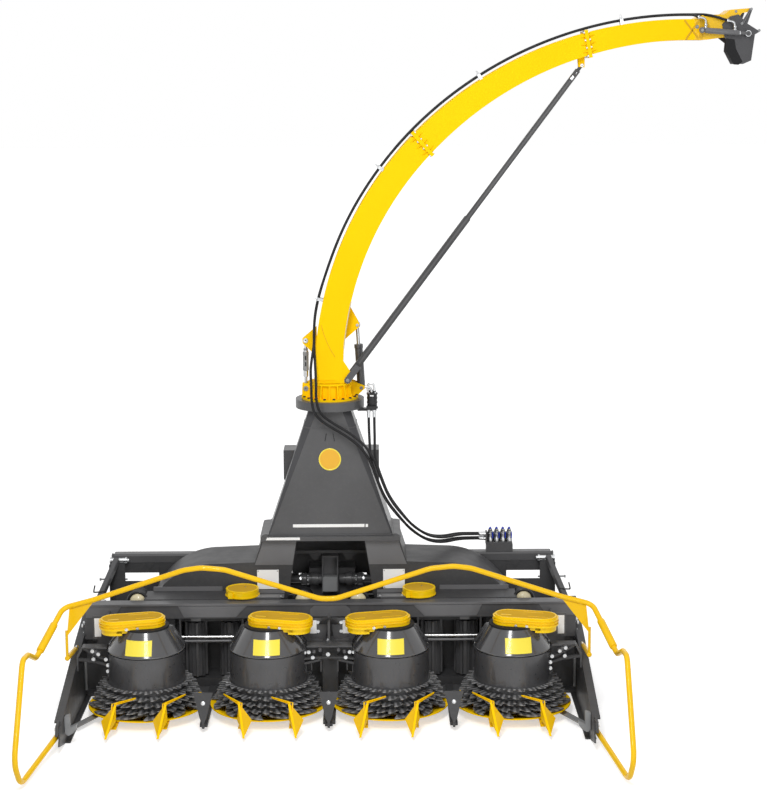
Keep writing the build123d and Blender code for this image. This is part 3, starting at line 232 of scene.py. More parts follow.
def rotor_finish(name, colour, axis_x):
    """Dark paint, worn to bare steel towards the teeth's tips."""
    look = Shader(name, colour, 0.34, coat=0.3)
    centre = look.node("ShaderNodeMapping")
    centre.inputs["Location"].default_value = (-axis_x, 0, 0)
    centre.inputs["Scale"].default_value = (1, 1, 0)
    look.link(look.place, centre.inputs["Vector"])
    radius = look.node("ShaderNodeVectorMath", operation="LENGTH")
    look.link(centre.outputs["Vector"], radius.inputs[0])
    tooth = look.spread(radius.outputs["Value"], 0, 1, 0.256, 0.262)
    worn = look.spread(radius.outputs["Value"], 0, 1, 0.3, 0.384)
    patch = look.node("ShaderNodeMath", operation="MULTIPLY")
    look.link(worn, patch.inputs[0])
    look.link(look.spread(look.noise(45.0, 5.0, 0.65), 0, 0.65, 0.42, 0.6), patch.inputs[1])
    cloud = look.mix(look.spread(look.noise(5.0), 0, 1), shade(colour, 0.8), shade(colour, 1.2))
    parts = look.node("ShaderNodeSeparateXYZ")
    look.link(centre.outputs["Vector"], parts.inputs["Vector"])
    turn = look.node("ShaderNodeMath", operation="ARCTAN2")
    look.link(parts.outputs["Y"], turn.inputs[0])
    look.link(parts.outputs["X"], turn.inputs[1])
    count = look.node("ShaderNodeMath", operation="MULTIPLY")
    count.inputs[1].default_value = 52 / (2 * pi)
    look.link(turn.outputs["Value"], count.inputs[0])
    within = look.node("ShaderNodeMath", operation="FRACT")
    look.link(count.outputs["Value"], within.inputs[0])
    streak = look.spread(within.outputs["Value"], 0, 1, 0.5, 0.62)
    steel = look.mix(streak, (0.06, 0.06, 0.062), (0.25, 0.25, 0.255))
    look.colour(look.mix(patch.outputs["Value"], look.mix(tooth, cloud, steel), (0.36, 0.36, 0.37)))
    look.link(look.spread(patch.outputs["Value"], 0.0, 0.8, 0.2, 0.7),
        look.surface.inputs["Metallic"])
    look.rough(look.spread(look.noise(30.0, 4.0), 0.26, 0.42))
    look.bump(look.noise(160.0, 4.0), 0.12, 0.0008)
    return look.made


def rubber(name, colour=(0.012, 0.012, 0.013)):
    """Hose cover with the cloth print of its wrapping."""
    look = Shader(name, colour, 0.55)
    look.surface.inputs["Specular IOR Level"].default_value = 0.2
    wrap = look.node("ShaderNodeTexWave", bands_direction="DIAGONAL")
    wrap.inputs["Scale"].default_value = 240.0
    wrap.inputs["Distortion"].default_value = 1.5
    look.link(look.place, wrap.inputs["Vector"])
    look.colour(look.mix(look.spread(look.noise(14.0), 0, 1), shade(colour, 0.7),
        shade(colour, 1.8)))
    look.rough(look.spread(look.noise(60.0), 0.5, 0.65))
    look.bump(wrap.outputs["Fac"], 0.12, 0.0006)
    return look.made


LOOKS = {}


def make_looks():
    hues = bpy.context.scene.harvester_colours
    LOOKS.update({
        "dark": paint("dark_grey_paint", tuple(hues.dark), 0.42, coat=0.15, dust=0.05),
        "face": paint("light_grey_paint", (0.14, 0.14, 0.145), 0.42, coat=0.15),
        "grey": paint("mid_grey_paint", tuple(hues.grey), 0.36),
        "hood": paint("hood_paint", tuple(hues.drum), 0.2, coat=0.9, mottle=0.08, gleam=0.4),
        "yellow": paint("yellow_paint", tuple(hues.yellow), 0.55,
                        coat=0.0, mottle=0.02, gleam=0.06),
        "guard": paint("guard_yellow", (0.87, 0.52, 0.004), 0.35,
                       coat=0.2, mottle=0.04, gleam=0.12),
        "side": paint("side_plate_paint", (0.048, 0.048, 0.05), 0.5,
                      coat=0.05, mottle=0.2, dust=0.05),
        "flap": paint("flap_paint", (0.06, 0.06, 0.064), 0.4, coat=0.1, gleam=0.2),
        "near_black": paint("near_black_paint", (0.018, 0.018, 0.019), 0.55, coat=0.0, gleam=0.1),
        "steel": plated("plated_steel", tuple(hues.steel), 0.3),
        "chrome": plated("hard_chrome", (0.46, 0.47, 0.48), 0.2),
        "zinc": plated("yellow_zinc", (0.62, 0.5, 0.26), 0.34),
        "rubber": rubber("hose_rubber"),
        "black": paint("black_paint", (0.012, 0.012, 0.013), 0.4, coat=0.1),
        "cream": paint("cream_plastic", (0.62, 0.55, 0.36), 0.3, coat=0.5),
        "white": paint("white_plate", (0.92, 0.92, 0.91), 0.45, coat=0.1, mottle=0.03),
        "gold": paint("disc_paint", (0.82, 0.44, 0.03), 0.36, coat=0.3, mottle=0.03),
        "lever": paint("blue_lever", (0.01, 0.035, 0.42), 0.35),
        "amber": paint("plate_yellow", (0.9, 0.74, 0.06), 0.35, mottle=0.03),
        "yellow_cap": cap_finish("cap_yellow", (0.985, 0.65, 0.0012)),
        # Darker yellow for the caps' upward faces: painted shade on the cap tops.
        "cap_top_shade": paint("cap_top_painted_shade", (0.66, 0.39, 0.036), 0.6, coat=0.0, mottle=0.12, gleam=0.0),
        # Darker yellow strips along creases and seams: painted shade.
        "seam": paint("seam_shade", (0.62, 0.36, 0.004), 0.5, coat=0.0, mottle=0.05),
        "zinc_grey": paint("galvanised", (0.25, 0.255, 0.26), 0.45, mottle=0.15),
    })
    LOOKS["bars"] = bar_finish("throat_bar_steel", (0.85, 0.85, 0.85), 0.377)
    for number, x in enumerate(ROTOR_X, start=1):
        LOOKS[f"rotor_{number}"] = rotor_finish(f"rotor_steel_{number}", tuple(hues.drum), x)


LOOK_OF_SLOT = {"dark_grey_paint": "dark", "mid_grey_paint": "grey", "yellow_paint": "yellow",
    "bare_steel": "steel", "chrome": "chrome", "black_rubber": "rubber", "cream_plastic": "cream",}
LOOK_OF_NODE = {"drum_hoods": "hood", "hood_caps": "yellow_cap", "roller_caps": "yellow_cap",
    "swivel_motor": "black", "crop_guard": "guard", "guard_supports": "guard", "throat_bars":
    "bars", "side_plates": "side", "tongues": "side", "back_panels": "dark", "spout_flap": "flap",
    "spout_tip_hood": "guard", "divider_fins": "guard", "spout_strut": "side", "feed_boxes": "side",
    "chopper_housings": "side", "side_shoes": "side",}


# ---- making pieces --------------------------------------------------------------------
def linked(name, mesh):
    piece = bpy.data.objects.new(name, mesh)
    bpy.context.scene.collection.objects.link(piece)
    return piece


def settle(name, mesh, look, body, smooth=None):
    """A finished plain mesh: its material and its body."""
    mesh.materials.clear()
    mesh.materials.append(LOOKS[look])
    if smooth is not None:
        mesh.shade_smooth()
        mesh.set_sharp_from_angle(angle=radians(smooth))
    piece = linked(name, mesh)
    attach(piece, body)
    return piece


def to_mesh(shape, name):
    """A mesh of the shape, its faces outwards; the shape is used up."""
    bmesh.ops.recalc_face_normals(shape, faces=shape.faces)
    mesh = bpy.data.meshes.new(name)
    shape.to_mesh(mesh)
    shape.free()
    return mesh


def bevelled(shape, width, segments=2, angle=35.0):
    edges = [e for e in shape.edges if len(e.link_faces) == 2 and e.calc_face_angle(0) >
        radians(angle)]
    if edges and width:
        bmesh.ops.bevel(shape, geom=edges, offset=width, segments=segments, affect="EDGES",
            clamp_overlap=True)


def prism(shape, points, thrust):
    """Adds a closed prism to the shape: an outline of 3-D points pushed along thrust."""
    low = [shape.verts.new(p) for p in points]
    high = [shape.verts.new(Vector(p) + Vector(thrust)) for p in points]
    count = len(points)
    shape.faces.new(low)
    shape.faces.new(high[::-1])
    for i in range(count):
        j = (i + 1) % count
        shape.faces.new((low[i], low[j], high[j], high[i]))


def join_rings(shape, rings):
    """Faces from each ring of corners to the next, and from the last to the first."""
    count = len(rings[0])
    for a, b in zip(rings, rings[1:] + rings[:1]):
        for k in range(count):
            n = (k + 1) % count
            shape.faces.new((a[k], a[n], b[n], b[k]))


def upright_strip(shape, a, b, half, depth):
    """Adds a flat strip from a to b, half as wide to each side, pushed along y by depth."""
    way = (b - a).normalized()
    side = Vector((way.z, 0, -way.x)) * half
    prism(shape, [a - side, b - side, b + side, a + side], (0, depth, 0))


def brick(shape, x0, x1, y0, y1, z0, z1):
    """Adds a block; its two x may come in either order."""
    x0, x1 = sorted((x0, x1))
    prism(shape, [(x0, y0, z0), (x1, y0, z0), (x1, y1, z0), (x0, y1, z0)], (0, 0, z1 - z0))


def sheet(shape, y, depth, outline, side=1):
    """Adds an upright sheet: an outline in x and z at y, pushed along y. Side -1 mirrors it."""
    prism(shape, [(side * x, y, z) for x, z in outline], (0, depth, 0))


def axis_frame(direction):
    """Two unit vectors square to a direction."""
    w = Vector(direction).normalized()
    u = w.orthogonal().normalized()
    return u, w.cross(u), w


def lathe(shape, origin, direction, profile, steps=24):
    """Adds a turned solid: profile rows are (distance along the direction, radius). A profile
    that starts and ends off the axis is a ring's section and is closed on itself."""
    u, v, w = axis_frame(direction)
    origin = Vector(origin)
    rings = []
    for along, radius in profile:
        centre = origin + w * along
        if radius < 1e-6:
            rings.append([shape.verts.new(centre)])
            continue
        rings.append([shape.verts.new(centre + (u * cos(a) + v * sin(a)) * radius) for a in
            (2 * pi * k / steps for k in range(steps))])
    hollow = len(rings[0]) > 1 and len(rings[-1]) > 1
    for a, b in zip(rings, rings[1:] + (rings[:1] if hollow else [])):
        for k in range(steps):
            n = (k + 1) % steps
            if len(a) == 1 and len(b) > 1:
                shape.faces.new((a[0], b[n], b[k]))
            elif len(b) == 1 and len(a) > 1:
                shape.faces.new((a[k], a[n], b[0]))
            elif len(a) > 1:
                shape.faces.new((a[k], a[n], b[n], b[k]))


def pipe_curve(name, points, radius, order=3, resolution=8, sides=3):
    curve = bpy.data.curves.new(name, "CURVE")
    curve.dimensions = "3D"
    curve.bevel_depth = radius
    curve.bevel_resolution = sides
    curve.use_fill_caps = True
    curve.resolution_u = resolution
    line = curve.splines.new("NURBS")
    line.points.add(len(points) - 1)
    for point, place in zip(line.points, points):
        point.co = (*place, 1)
    line.use_endpoint_u = True
    line.order_u = order
    return curve


def pipe_mesh(name, runs, order=3, sides=3):
    """One plain mesh of several bent pipes; each run is (points, radius)."""
    whole = bmesh.new()
    for points, radius in runs:
        holder = bpy.data.objects.new("run", pipe_curve("run", points, radius, order, 6, sides))
        mesh = bpy.data.meshes.new_from_object(holder)
        whole.from_mesh(mesh)
        bpy.data.meshes.remove(mesh)
        bpy.data.objects.remove(holder)
    bmesh.ops.remove_doubles(whole, verts=whole.verts, dist=1e-6)
    return to_mesh(whole, name)


# ---- bolts ----------------------------------------------------------------------------
def bolt_tree(look):
    """Geometry nodes: a hexagon head on a washer at every point, turned to face its way."""
    tree = bpy.data.node_groups.new(f"bolts_{look}", "GeometryNodeTree")
    face = tree.interface
    face.new_socket("Geometry", in_out="INPUT", socket_type="NodeSocketGeometry")
    for label, default in (("Head Radius", 0.011), ("Head Height", 0.008), ("Washer Radius",
            0.0155)):
        face.new_socket(label, in_out="INPUT",
            socket_type="NodeSocketFloat").default_value = default
    face.new_socket("Geometry", in_out="OUTPUT", socket_type="NodeSocketGeometry")

    def node(kind, **settings):
        made = tree.nodes.new(kind)
        for key, value in settings.items():
            setattr(made, key, value)
        return made

    link = tree.links.new
    entry, leave = node("NodeGroupInput"), node("NodeGroupOutput")
    parts = node("GeometryNodeJoinGeometry")
    for sides, radius, height, lift in ((6, "Head Radius", "Head Height", 0.006), (14,
            "Washer Radius", 0.0022, 0.0011)):
        drum = node("GeometryNodeMeshCylinder")
        drum.inputs["Vertices"].default_value = sides
        link(entry.outputs[radius], drum.inputs["Radius"])
        if isinstance(height, str):
            link(entry.outputs[height], drum.inputs["Depth"])
        else:
            drum.inputs["Depth"].default_value = height
        shift = node("GeometryNodeTransform")
        shift.inputs["Translation"].default_value = (0, 0, lift)
        link(drum.outputs["Mesh"], shift.inputs["Geometry"])
        link(shift.outputs["Geometry"], parts.inputs["Geometry"])
    facing = node("GeometryNodeInputNamedAttribute", data_type="FLOAT_VECTOR")
    facing.inputs["Name"].default_value = "facing"
    size = node("GeometryNodeInputNamedAttribute", data_type="FLOAT")
    size.inputs["Name"].default_value = "size"
    turn = node("FunctionNodeAlignRotationToVector", axis="Z")
    link(facing.outputs["Attribute"], turn.inputs["Vector"])
    spots = node("GeometryNodeMeshToPoints")
    link(entry.outputs["Geometry"], spots.inputs["Mesh"])
    place = node("GeometryNodeInstanceOnPoints")
    link(spots.outputs["Points"], place.inputs["Points"])
    link(parts.outputs["Geometry"], place.inputs["Instance"])
    link(turn.outputs["Rotation"], place.inputs["Rotation"])
    link(size.outputs["Attribute"], place.inputs["Scale"])
    real = node("GeometryNodeRealizeInstances")
    link(place.outputs["Instances"], real.inputs["Geometry"])
    finish = node("GeometryNodeSetMaterial")
    finish.inputs["Material"].default_value = LOOKS[look]
    link(real.outputs["Geometry"], finish.inputs["Geometry"])
    link(finish.outputs["Geometry"], leave.inputs["Geometry"])
    return tree


def bolts(name, body, rows, look="steel"):
    """Bolts at rows of (place, facing, size as a share of the usual bolt)."""
    points = bpy.data.meshes.new(name)
    points.from_pydata([tuple(row[0]) for row in rows], [], [])
    points.attributes.new("facing", "FLOAT_VECTOR", "POINT")
    points.attributes.new("size", "FLOAT", "POINT")
    facing, size = points.attributes["facing"].data, points.attributes["size"].data
    for index, (_, way, share) in enumerate(rows):
        facing[index].vector = way
        size[index].value = share
    holder = linked(name, points)
    tree = bpy.data.node_groups.get(f"bolts_{look}") or bolt_tree(look)
    maker = holder.modifiers.new("bolts", "NODES")
    maker.node_group = tree
    socket = {item.name: item.identifier for item in tree.interface.items_tree if item.item_type ==
        "SOCKET" and item.in_out == "INPUT"}
    radius = bpy.context.scene.harvester_sizes.bolt
    maker[socket["Head Radius"]] = radius
    maker[socket["Washer Radius"]] = radius * 1.4
    bpy.context.view_layer.update()
    graph = bpy.context.evaluated_depsgraph_get()
    made = bpy.data.meshes.new_from_object(holder.evaluated_get(graph))
    bpy.data.objects.remove(holder)
    made.name = name
    return settle(name, made, look, body)


def mirror_rows(rows):
    return rows + [((-p[0], p[1], p[2]), (-w[0], w[1], w[2]), s) for p, w, s in rows]


class Maker:
    """What the piece operators share."""
    bl_options = {"REGISTER", "UNDO"}


class HARVESTER_OT_frame_finish(Maker, bpy.types.Operator):
    """Gives every part of the frame its paint, steel or rubber"""
    bl_idname = "harvester.frame_finish"
    bl_label = "Frame Finish"

    def execute(self, context):
        make_looks()
        slots = {row["node"]: row["material_slot"] for row in frame["record"]["subparts"]}
        for name, node in NODES.items():
            look = LOOK_OF_NODE.get(name)
            if name.startswith("rotor_"):
                look = name
            look = look or LOOK_OF_SLOT[slots[name]]
            node.data.materials.clear()
            node.data.materials.append(LOOKS[look])
        return {"FINISHED"}


# Routes of the free hoses, from where each leaves the object: corners in metres.
HOSE_END_X = 1.096
MOTOR_PORT_Z = 1.885
HOSES = {
    "hose_spout_1": (2.1, [
        (HOSE_END_X, 1.232, 0.85), (1.0, 1.232, 0.85), (0.9, 1.15, 0.868), (0.797, 1.0, 0.884),
        (0.716, 0.88, 0.918), (0.648, 0.77, 0.968), (0.566, 0.67, 1.048), (0.49, 0.596, 1.14),
        (0.38, 0.597, 1.275), (0.322, 0.6, 1.415), (0.28, 0.601, 1.545), (0.215, 0.605, 1.648),
        (0.11, 0.615, 1.728), (0.008, 0.62, 1.786), (-0.08, 0.612, 1.85), (-0.118, 0.59, 1.93),
        (-0.118, 0.59, 2.03)]),
    "hose_spout_2": (2.06, [
        (HOSE_END_X, 1.232, 0.882), (1.002, 1.232, 0.882), (0.908, 1.152, 0.902),
        (0.806, 1.002, 0.918),
        (0.724, 0.88, 0.951), (0.657, 0.768, 1.0), (0.577, 0.664, 1.078), (0.506, 0.59, 1.164),
        (0.405, 0.594, 1.29), (0.35, 0.598, 1.424), (0.306, 0.6, 1.56), (0.234, 0.604, 1.672),
        (0.124, 0.614, 1.755), (0.024, 0.62, 1.812), (-0.052, 0.612, 1.87), (-0.086, 0.582, 1.95),
        (-0.086, 0.582, 2.03)]),
    "hose_motor_1": (1.79, [
        (0.266, 0.726, MOTOR_PORT_Z), (0.266, 0.726, 1.79), (0.27, 0.668, 1.69),
        (0.277, 0.632, 1.56),
        (0.319, 0.63, 1.428), (0.374, 0.629, 1.288), (0.478, 0.634, 1.15), (0.55, 0.704, 1.05),
        (0.632, 0.804, 0.97), (0.7, 0.914, 0.92), (0.781, 1.034, 0.886), (0.884, 1.182, 0.868),
        (0.99, 1.262, 0.85), (HOSE_END_X, 1.262, 0.85)]),
    "hose_motor_2": (1.75, [
        (0.304, 0.726, MOTOR_PORT_Z), (0.304, 0.726, 1.795), (0.306, 0.668, 1.694),
        (0.305, 0.632, 1.572),
        (0.348, 0.63, 1.438), (0.4, 0.628, 1.304), (0.494, 0.63, 1.176), (0.561, 0.7, 1.08),
        (0.641, 0.802, 1.002), (0.708, 0.914, 0.953), (0.789, 1.036, 0.92), (0.892, 1.184, 0.902),
        (0.994, 1.262, 0.882), (HOSE_END_X, 1.262, 0.882)]),
}


class HARVESTER_OT_free_hoses(Maker, bpy.types.Operator):
    """Lays the hoses from the spout and the turning motor to the coupler stand"""
    bl_idname = "harvester.free_hoses"
    bl_label = "Free Hoses"

    def execute(self, context):
        radius = context.scene.harvester_sizes.hose
        for name, (length, route) in HOSES.items():
            curve = pipe_curve(f"{name}_tube", route, radius, resolution=12, sides=5)
            curve.materials.append(LOOKS["rubber"])
            piece = linked(f"{name}_tube", curve)
            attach(piece, "frame")
            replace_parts(piece, name)
        return {"FINISHED"}


# ---- tower ----------------------------------------------------------------------------
TOWER_LOW, TOWER_HIGH = 1.03, 1.885


def tower_front(z):
    """The tower's front face slopes back as it rises."""
    return 0.64 + (z - TOWER_LOW) * 0.06 / (TOWER_HIGH - TOWER_LOW)


FRONT_OUT = Vector((0, -0.997, 0.07))


def tower_section(z, grow):
    share = (z - TOWER_LOW) / (TOWER_HIGH - TOWER_LOW)

    def between(a, b):
        return a + (b - a) * share

    half, bevel = between(0.426, 0.14) + grow, between(0.008, 0.055)
    y0, y1 = between(0.64, 0.7) - grow, between(1.09, 1.04) + grow
    return [(-half, y0 + bevel, z), (-half + bevel, y0, z), (half - bevel, y0, z), (half,
        y0 + bevel, z), (half, y1 - bevel, z), (half - bevel, y1, z), (-half + bevel, y1, z),
        (-half, y1 - bevel, z)]


def tower_edge(z):
    """The two corners of the tower's front bevel on the right, at one height."""
    section = tower_section(z, 0.0)
    return section[3][:2], section[2][:2]


def tower_band(shape, z0, z1, grow):
    """A closed belt round the tower between two heights."""
    loops = [tower_section(z0, -0.004), tower_section(z0, grow), tower_section(z1, grow),
        tower_section(z1, -0.004)]
    join_rings(shape, [[shape.verts.new(p) for p in loop] for loop in loops])


def piece(name, look, body, build, bevel=0.0, smooth=None, segments=2):
    """A piece from a function that fills a shape, its edges eased and its faces outwards."""
    shape = bmesh.new()
    build(shape)
    bmesh.ops.recalc_face_normals(shape, faces=shape.faces)
    bevelled(shape, bevel, segments)
    return settle(name, to_mesh(shape, name), look, body, smooth)


def both(build):
    """Runs a filler for each side: -1 for the left, 1 for the right."""
    def run(shape):
        for side in SIDES:
            build(shape, side)
    return run


class HARVESTER_OT_tower(Maker, bpy.types.Operator):
    """Puts the plain disc, stripe, blank plates, weld belts and bolts on the tower"""
    bl_idname = "harvester.tower"
    bl_label = "Tower Plates"

    def execute(self, context):
        sizes = context.scene.harvester_sizes
        thick, radius = sizes.plate, sizes.decal
        z = 1.552
        spot = Vector((0, tower_front(z), z))
        piece("tower_disc", "gold", "frame", lambda s: lathe(s, spot, FRONT_OUT,
            [(0, 0), (0, radius - 0.006), (thick, radius - 0.006), (thick, 0)], 48), smooth=40)
        piece("tower_disc_rim", "amber", "frame", lambda s: lathe(s, spot, FRONT_OUT,
            [(0, radius - 0.008), (0, radius), (thick, radius), (thick * 1.8, radius - 0.002),
            (thick * 1.8, radius - 0.006), (thick, radius - 0.008), (0, radius - 0.008)], 48),
            smooth=40)

        def stripe(s):
            low, high = 1.086, 1.107
            for x0, x1 in ((-0.256, 0.232), (0.24, 0.256)):
                prism(s, [(x0, tower_front(low), low), (x1, tower_front(low), low),
                    (x1, tower_front(high), high), (x0, tower_front(high), high)], FRONT_OUT *
                    thick)
        piece("tower_stripe", "white", "frame", stripe, bevel=0.0004)

        def plates(s):
            for x0, x1 in ((-0.506, -0.358), (0.358, 0.506)):
                brick(s, x0, x1, WHITE_PLATE_Y - thick, 0.6375, 0.654, 0.79)
        piece("blank_plates", "white", "frame", plates, bevel=0.0005)
        bolts("plate_rivets", "frame", mirror_rows([((x, WHITE_PLATE_Y - thick, z), FRONT, 0.35) for
            x in (0.366, 0.498) for z in (0.662, 0.782)]))

        def belts(s):
            tower_band(s, 1.762, 1.77, 0.0035)
            tower_band(s, 1.875, 1.885, 0.006)
            tower_band(s, 1.03, 1.04, 0.007)
        piece("tower_belts", "dark", "frame", belts, bevel=0.001)

        def hook(s, side):
            prism(s, [(side * x, tower_front(z), z) for x,
                z in ((0.03, 1.676), (0.035, 1.676), (0.025, 1.73), (0.02, 1.73))], FRONT_OUT *
                0.004)
        piece("tower_ribs", "black", "frame", both(hook), bevel=0.0008)
        piece("flange_cheeks", "dark", "frame", both(lambda s,
            side: sheet(s, 0.597, 0.03, [(0.48, 0.997), (0.474, 1.026), (0.464, 1.042),
            (0.45, 1.05), (0.43, 1.05), (0.426, 1.03), (0.44, 0.997)], side)), bevel=0.004)
        piece("tower_edge_sheets", "flap", "frame", both(lambda s,
            side: [prism(s, [(side * tower_edge(z)[k][0], tower_edge(z)[k][1], z) for z,
            k in ((low, 0), (low, 1), (high, 1), (high, 0))], (side * 0.0012, -0.0012, 0)) for low,
            high in ((1.042, 1.76), (1.772, 1.873))]))
        # Lighter grey sheets on the ducts' fronts above the housings: painted light where the real
        # faces tilt upwards.
        piece("duct_faces_painted_light", "face", "frame", both(lambda s,
            side: sheet(s, DUCT_FRONT_Y, -0.0025, [(0.234, 0.996), (0.466, 0.996), (0.476, 0.945),
            (0.514, 0.842), (0.52, 0.824), (0.262, 0.824)], side)), bevel=0.001)
        # A thin white strip on the left of the flange's front: a painted highlight.
        piece("flange_painted_highlight", "white", "frame", lambda s: brick(s, -0.452, -0.208, 0.5975, 0.6005,
            1.008, 1.026), bevel=0.001)
        bolts("flange_bolts", "frame", mirror_rows([((x, 1.1, 1.03), UP, 1.0) for x in
            (0.055, 0.165, 0.275, 0.385)]))
        return {"FINISHED"}


class HARVESTER_OT_between_ducts(Maker, bpy.types.Operator):
    """Fills the space under the tower: drive couplings, channel, cross bar and back sheet"""
    bl_idname = "harvester.between_ducts"
    bl_label = "Drive Between Ducts"

    def execute(self, context):
        def sheets(s):
            brick(s, -0.29, 0.29, 1.19, 1.198, 0.613, 0.995)
            for side in SIDES:
                for x0, x1, z0, z1 in ((0.15, 0.335, 0.4, 0.599), (0.242, 0.335, 0.598, 0.614),
                        (0.15, 0.187, 0.598, 0.614)):
                    brick(s, side * x0, side * x1, 1.19, 1.198, z0, z1)
            brick(s, -0.275, 0.275, 0.985, 1.003, 0.811, 0.834)
            for side in SIDES:
                sheet(s, 0.99, 0.008, [(0.075, 0.811), (0.165, 0.811), (0.135, 0.765),
                    (0.1, 0.765)], side)
        piece("cross_bar_and_sheet", "dark", "frame", sheets, bevel=0.002)

        def channel(s):
            for x in (-0.07, 0.036):
                brick(s, x, x + 0.008, 0.93, 1.01, 0.54, 0.8)
            brick(s, -0.07, 0.044, 1.002, 1.01, 0.54, 0.805)
            brick(s, -0.07, 0.044, 0.93, 1.01, 0.796, 0.806)
        piece("drive_channel", "face", "frame", channel, bevel=0.002)
        piece("drive_cover", "zinc_grey", "frame", lambda s: brick(s, -0.064, 0.038, 0.895, 0.96,
            0.555, 0.664), bevel=0.006)

        def couplings(s, side):
            lathe(s, (side * 0.05, 0.965, 0.633), (side, 0, 0), [(0, 0), (0, 0.03), (0.012, 0.034),
                (0.045, 0.034), (0.048, 0.044), (0.09, 0.044), (0.093, 0.036), (0.125, 0.036),
                (0.13, 0.041), (0.165, 0.041), (0.17, 0.026), (0.24, 0.026), (0.24, 0)], 28)
        piece("drive_couplings", "dark", "frame", both(couplings), smooth=35)
        bolts("coupling_bolts", "frame", mirror_rows([((0.167, 0.965 + 0.032 * cos(a),
            0.633 + 0.032 * sin(a)), (1, 0, 0), 0.7) for a in (k * pi / 3 for k in range(6))] +
            [((0.215, 0.965 - 0.03 * cos(a), 0.633 + 0.03 * sin(a)), (0, -cos(a), sin(a)), 0.9) for
            a in (0.4, 1.4)]))
        return {"FINISHED"}


# ---- beam and brackets ----------------------------------------------------------------
class HARVESTER_OT_beam(Maker, bpy.types.Operator):
    """Dresses the front beam: lip, face panels, feed box lips, brackets and bolts"""
    bl_idname = "harvester.beam"
    bl_label = "Beam Faces"

    def execute(self, context):
        def lips(s):
            brick(s, -1.63, 1.63, 0.321, 0.33, 0.628, 0.643)
            for side in SIDES:
                x0, x1 = side * 0.745, side * 1.218
                brick(s, x0, x1, 0.628, 0.64, 0.645, 0.676)
                x0, x1 = side * 0.315, side * 0.504
                brick(s, x0, x1, 0.445, 0.52, 0.645, 0.651)
                brick(s, x0, x1, 0.556, 0.564, 0.645, 0.668)
        piece("beam_lips", "face", "frame", lips, bevel=0.0015)

        def faces(s):
            for side in SIDES:
                sheet(s, BEAM_FRONT_Y, -0.007, [(1.02, 0.626), (0.558, 0.626), (0.633, 0.549),
                    (0.982, 0.549)], side)
                sheet(s, BEAM_FRONT_Y, -0.005, [(1.64, 0.626), (1.4, 0.626), (1.452, 0.549),
                    (1.64, 0.549)], side)
            sheet(s, BEAM_FRONT_Y, -0.007, [(-0.105, 0.626), (0.105, 0.626), (0.135, 0.6),
                (0.135, 0.549), (-0.135, 0.549), (-0.135, 0.6)])
        piece("beam_faces", "face", "frame", faces, bevel=0.0015)

        def tabs(s, side):
            x0, x1 = side * 0.87, side * 0.935
            brick(s, x0, x1, 0.33, 0.345, 0.52, 0.542)
            for x in (0.595, 1.005):
                prism(s, [(side * x, 0.335, 0.54), (side * x, 0.385, 0.54), (side * x, 0.385, 0.33),
                    (side * x, 0.365, 0.33)], (side * (0.012 if x > 0.8 else -0.012), 0, 0))
        piece("throat_cheeks", "dark", "frame", both(tabs), bevel=0.0015)

        def middle(s):
            for side in SIDES:
                sheet(s, 0.112, 0.01, [(0.018, 0.602), (0.128, 0.602), (0.128, 0.47), (0.1, 0.452),
                    (0.03, 0.452), (0.018, 0.52)], side)
                sheet(s, 0.12, -0.06, [(0.04, 0.47), (0.128, 0.47), (0.128, 0.44), (0.04, 0.44)],
                    side)
            brick(s, -0.012, 0.004, 0.05, 0.12, 0.46, 0.628)
            sheet(s, 0.02, 0.02, [(-0.06, 0.435), (0.055, 0.435), (0.0, 0.48)])
            prism(s, [(-0.018, 0.01, 0.632), (0.01, 0.01, 0.632), (0.07, 0.11, 0.56),
                (-0.078, 0.11, 0.56)], (0, 0.012, -0.006))
        piece("centre_brackets", "dark", "frame", middle, bevel=0.0015)

        def reflectors(s, side):
            x0, x1 = side * 0.086, side * 0.13
            brick(s, x0, x1, 0.1095, 0.1125, 0.498, 0.588)
            x0, x1 = side * 1.505, side * 1.548
            brick(s, x0, x1, 0.0985, 0.1015, 0.49, 0.615)
        piece("blank_reflectors", "white", "frame", both(reflectors), bevel=0.0008)

        def outer(s, side):
            x0, x1 = side * 1.44, side * 1.56
            brick(s, x0, x1, 0.1015, 0.109, 0.47, 0.63)
            x0, x1 = side * 1.47, side * 1.482
            brick(s, x0, x1, 0.105, 0.33, 0.545, 0.6)
        piece("outer_brackets", "dark", "frame", both(outer), bevel=0.0015)
        rows = [((0.076, 0.112, z), FRONT, 0.75) for z in (0.573, 0.512)]
        rows += [((x, 0.47, 0.651), UP, 0.7) for x in (0.335, 0.485)]
        bolts("beam_bolts", "frame", mirror_rows(rows))
        return {"FINISHED"}


# ---- strippers ------------------------------------------------------------------------
def flat_bar(shape, points, width, thick):
    """A flat bar on edge through points, its width upright."""
    for a, b in zip(points, points[1:]):
        a, b = Vector(a), Vector(b)
        along = (b - a).normalized()
        side = along.cross(Vector(UP)).normalized() * thick / 2
        up = Vector((0, 0, width / 2))
        prism(shape, [a - side - up, a + side - up, a + side + up, a - side + up], b - a)


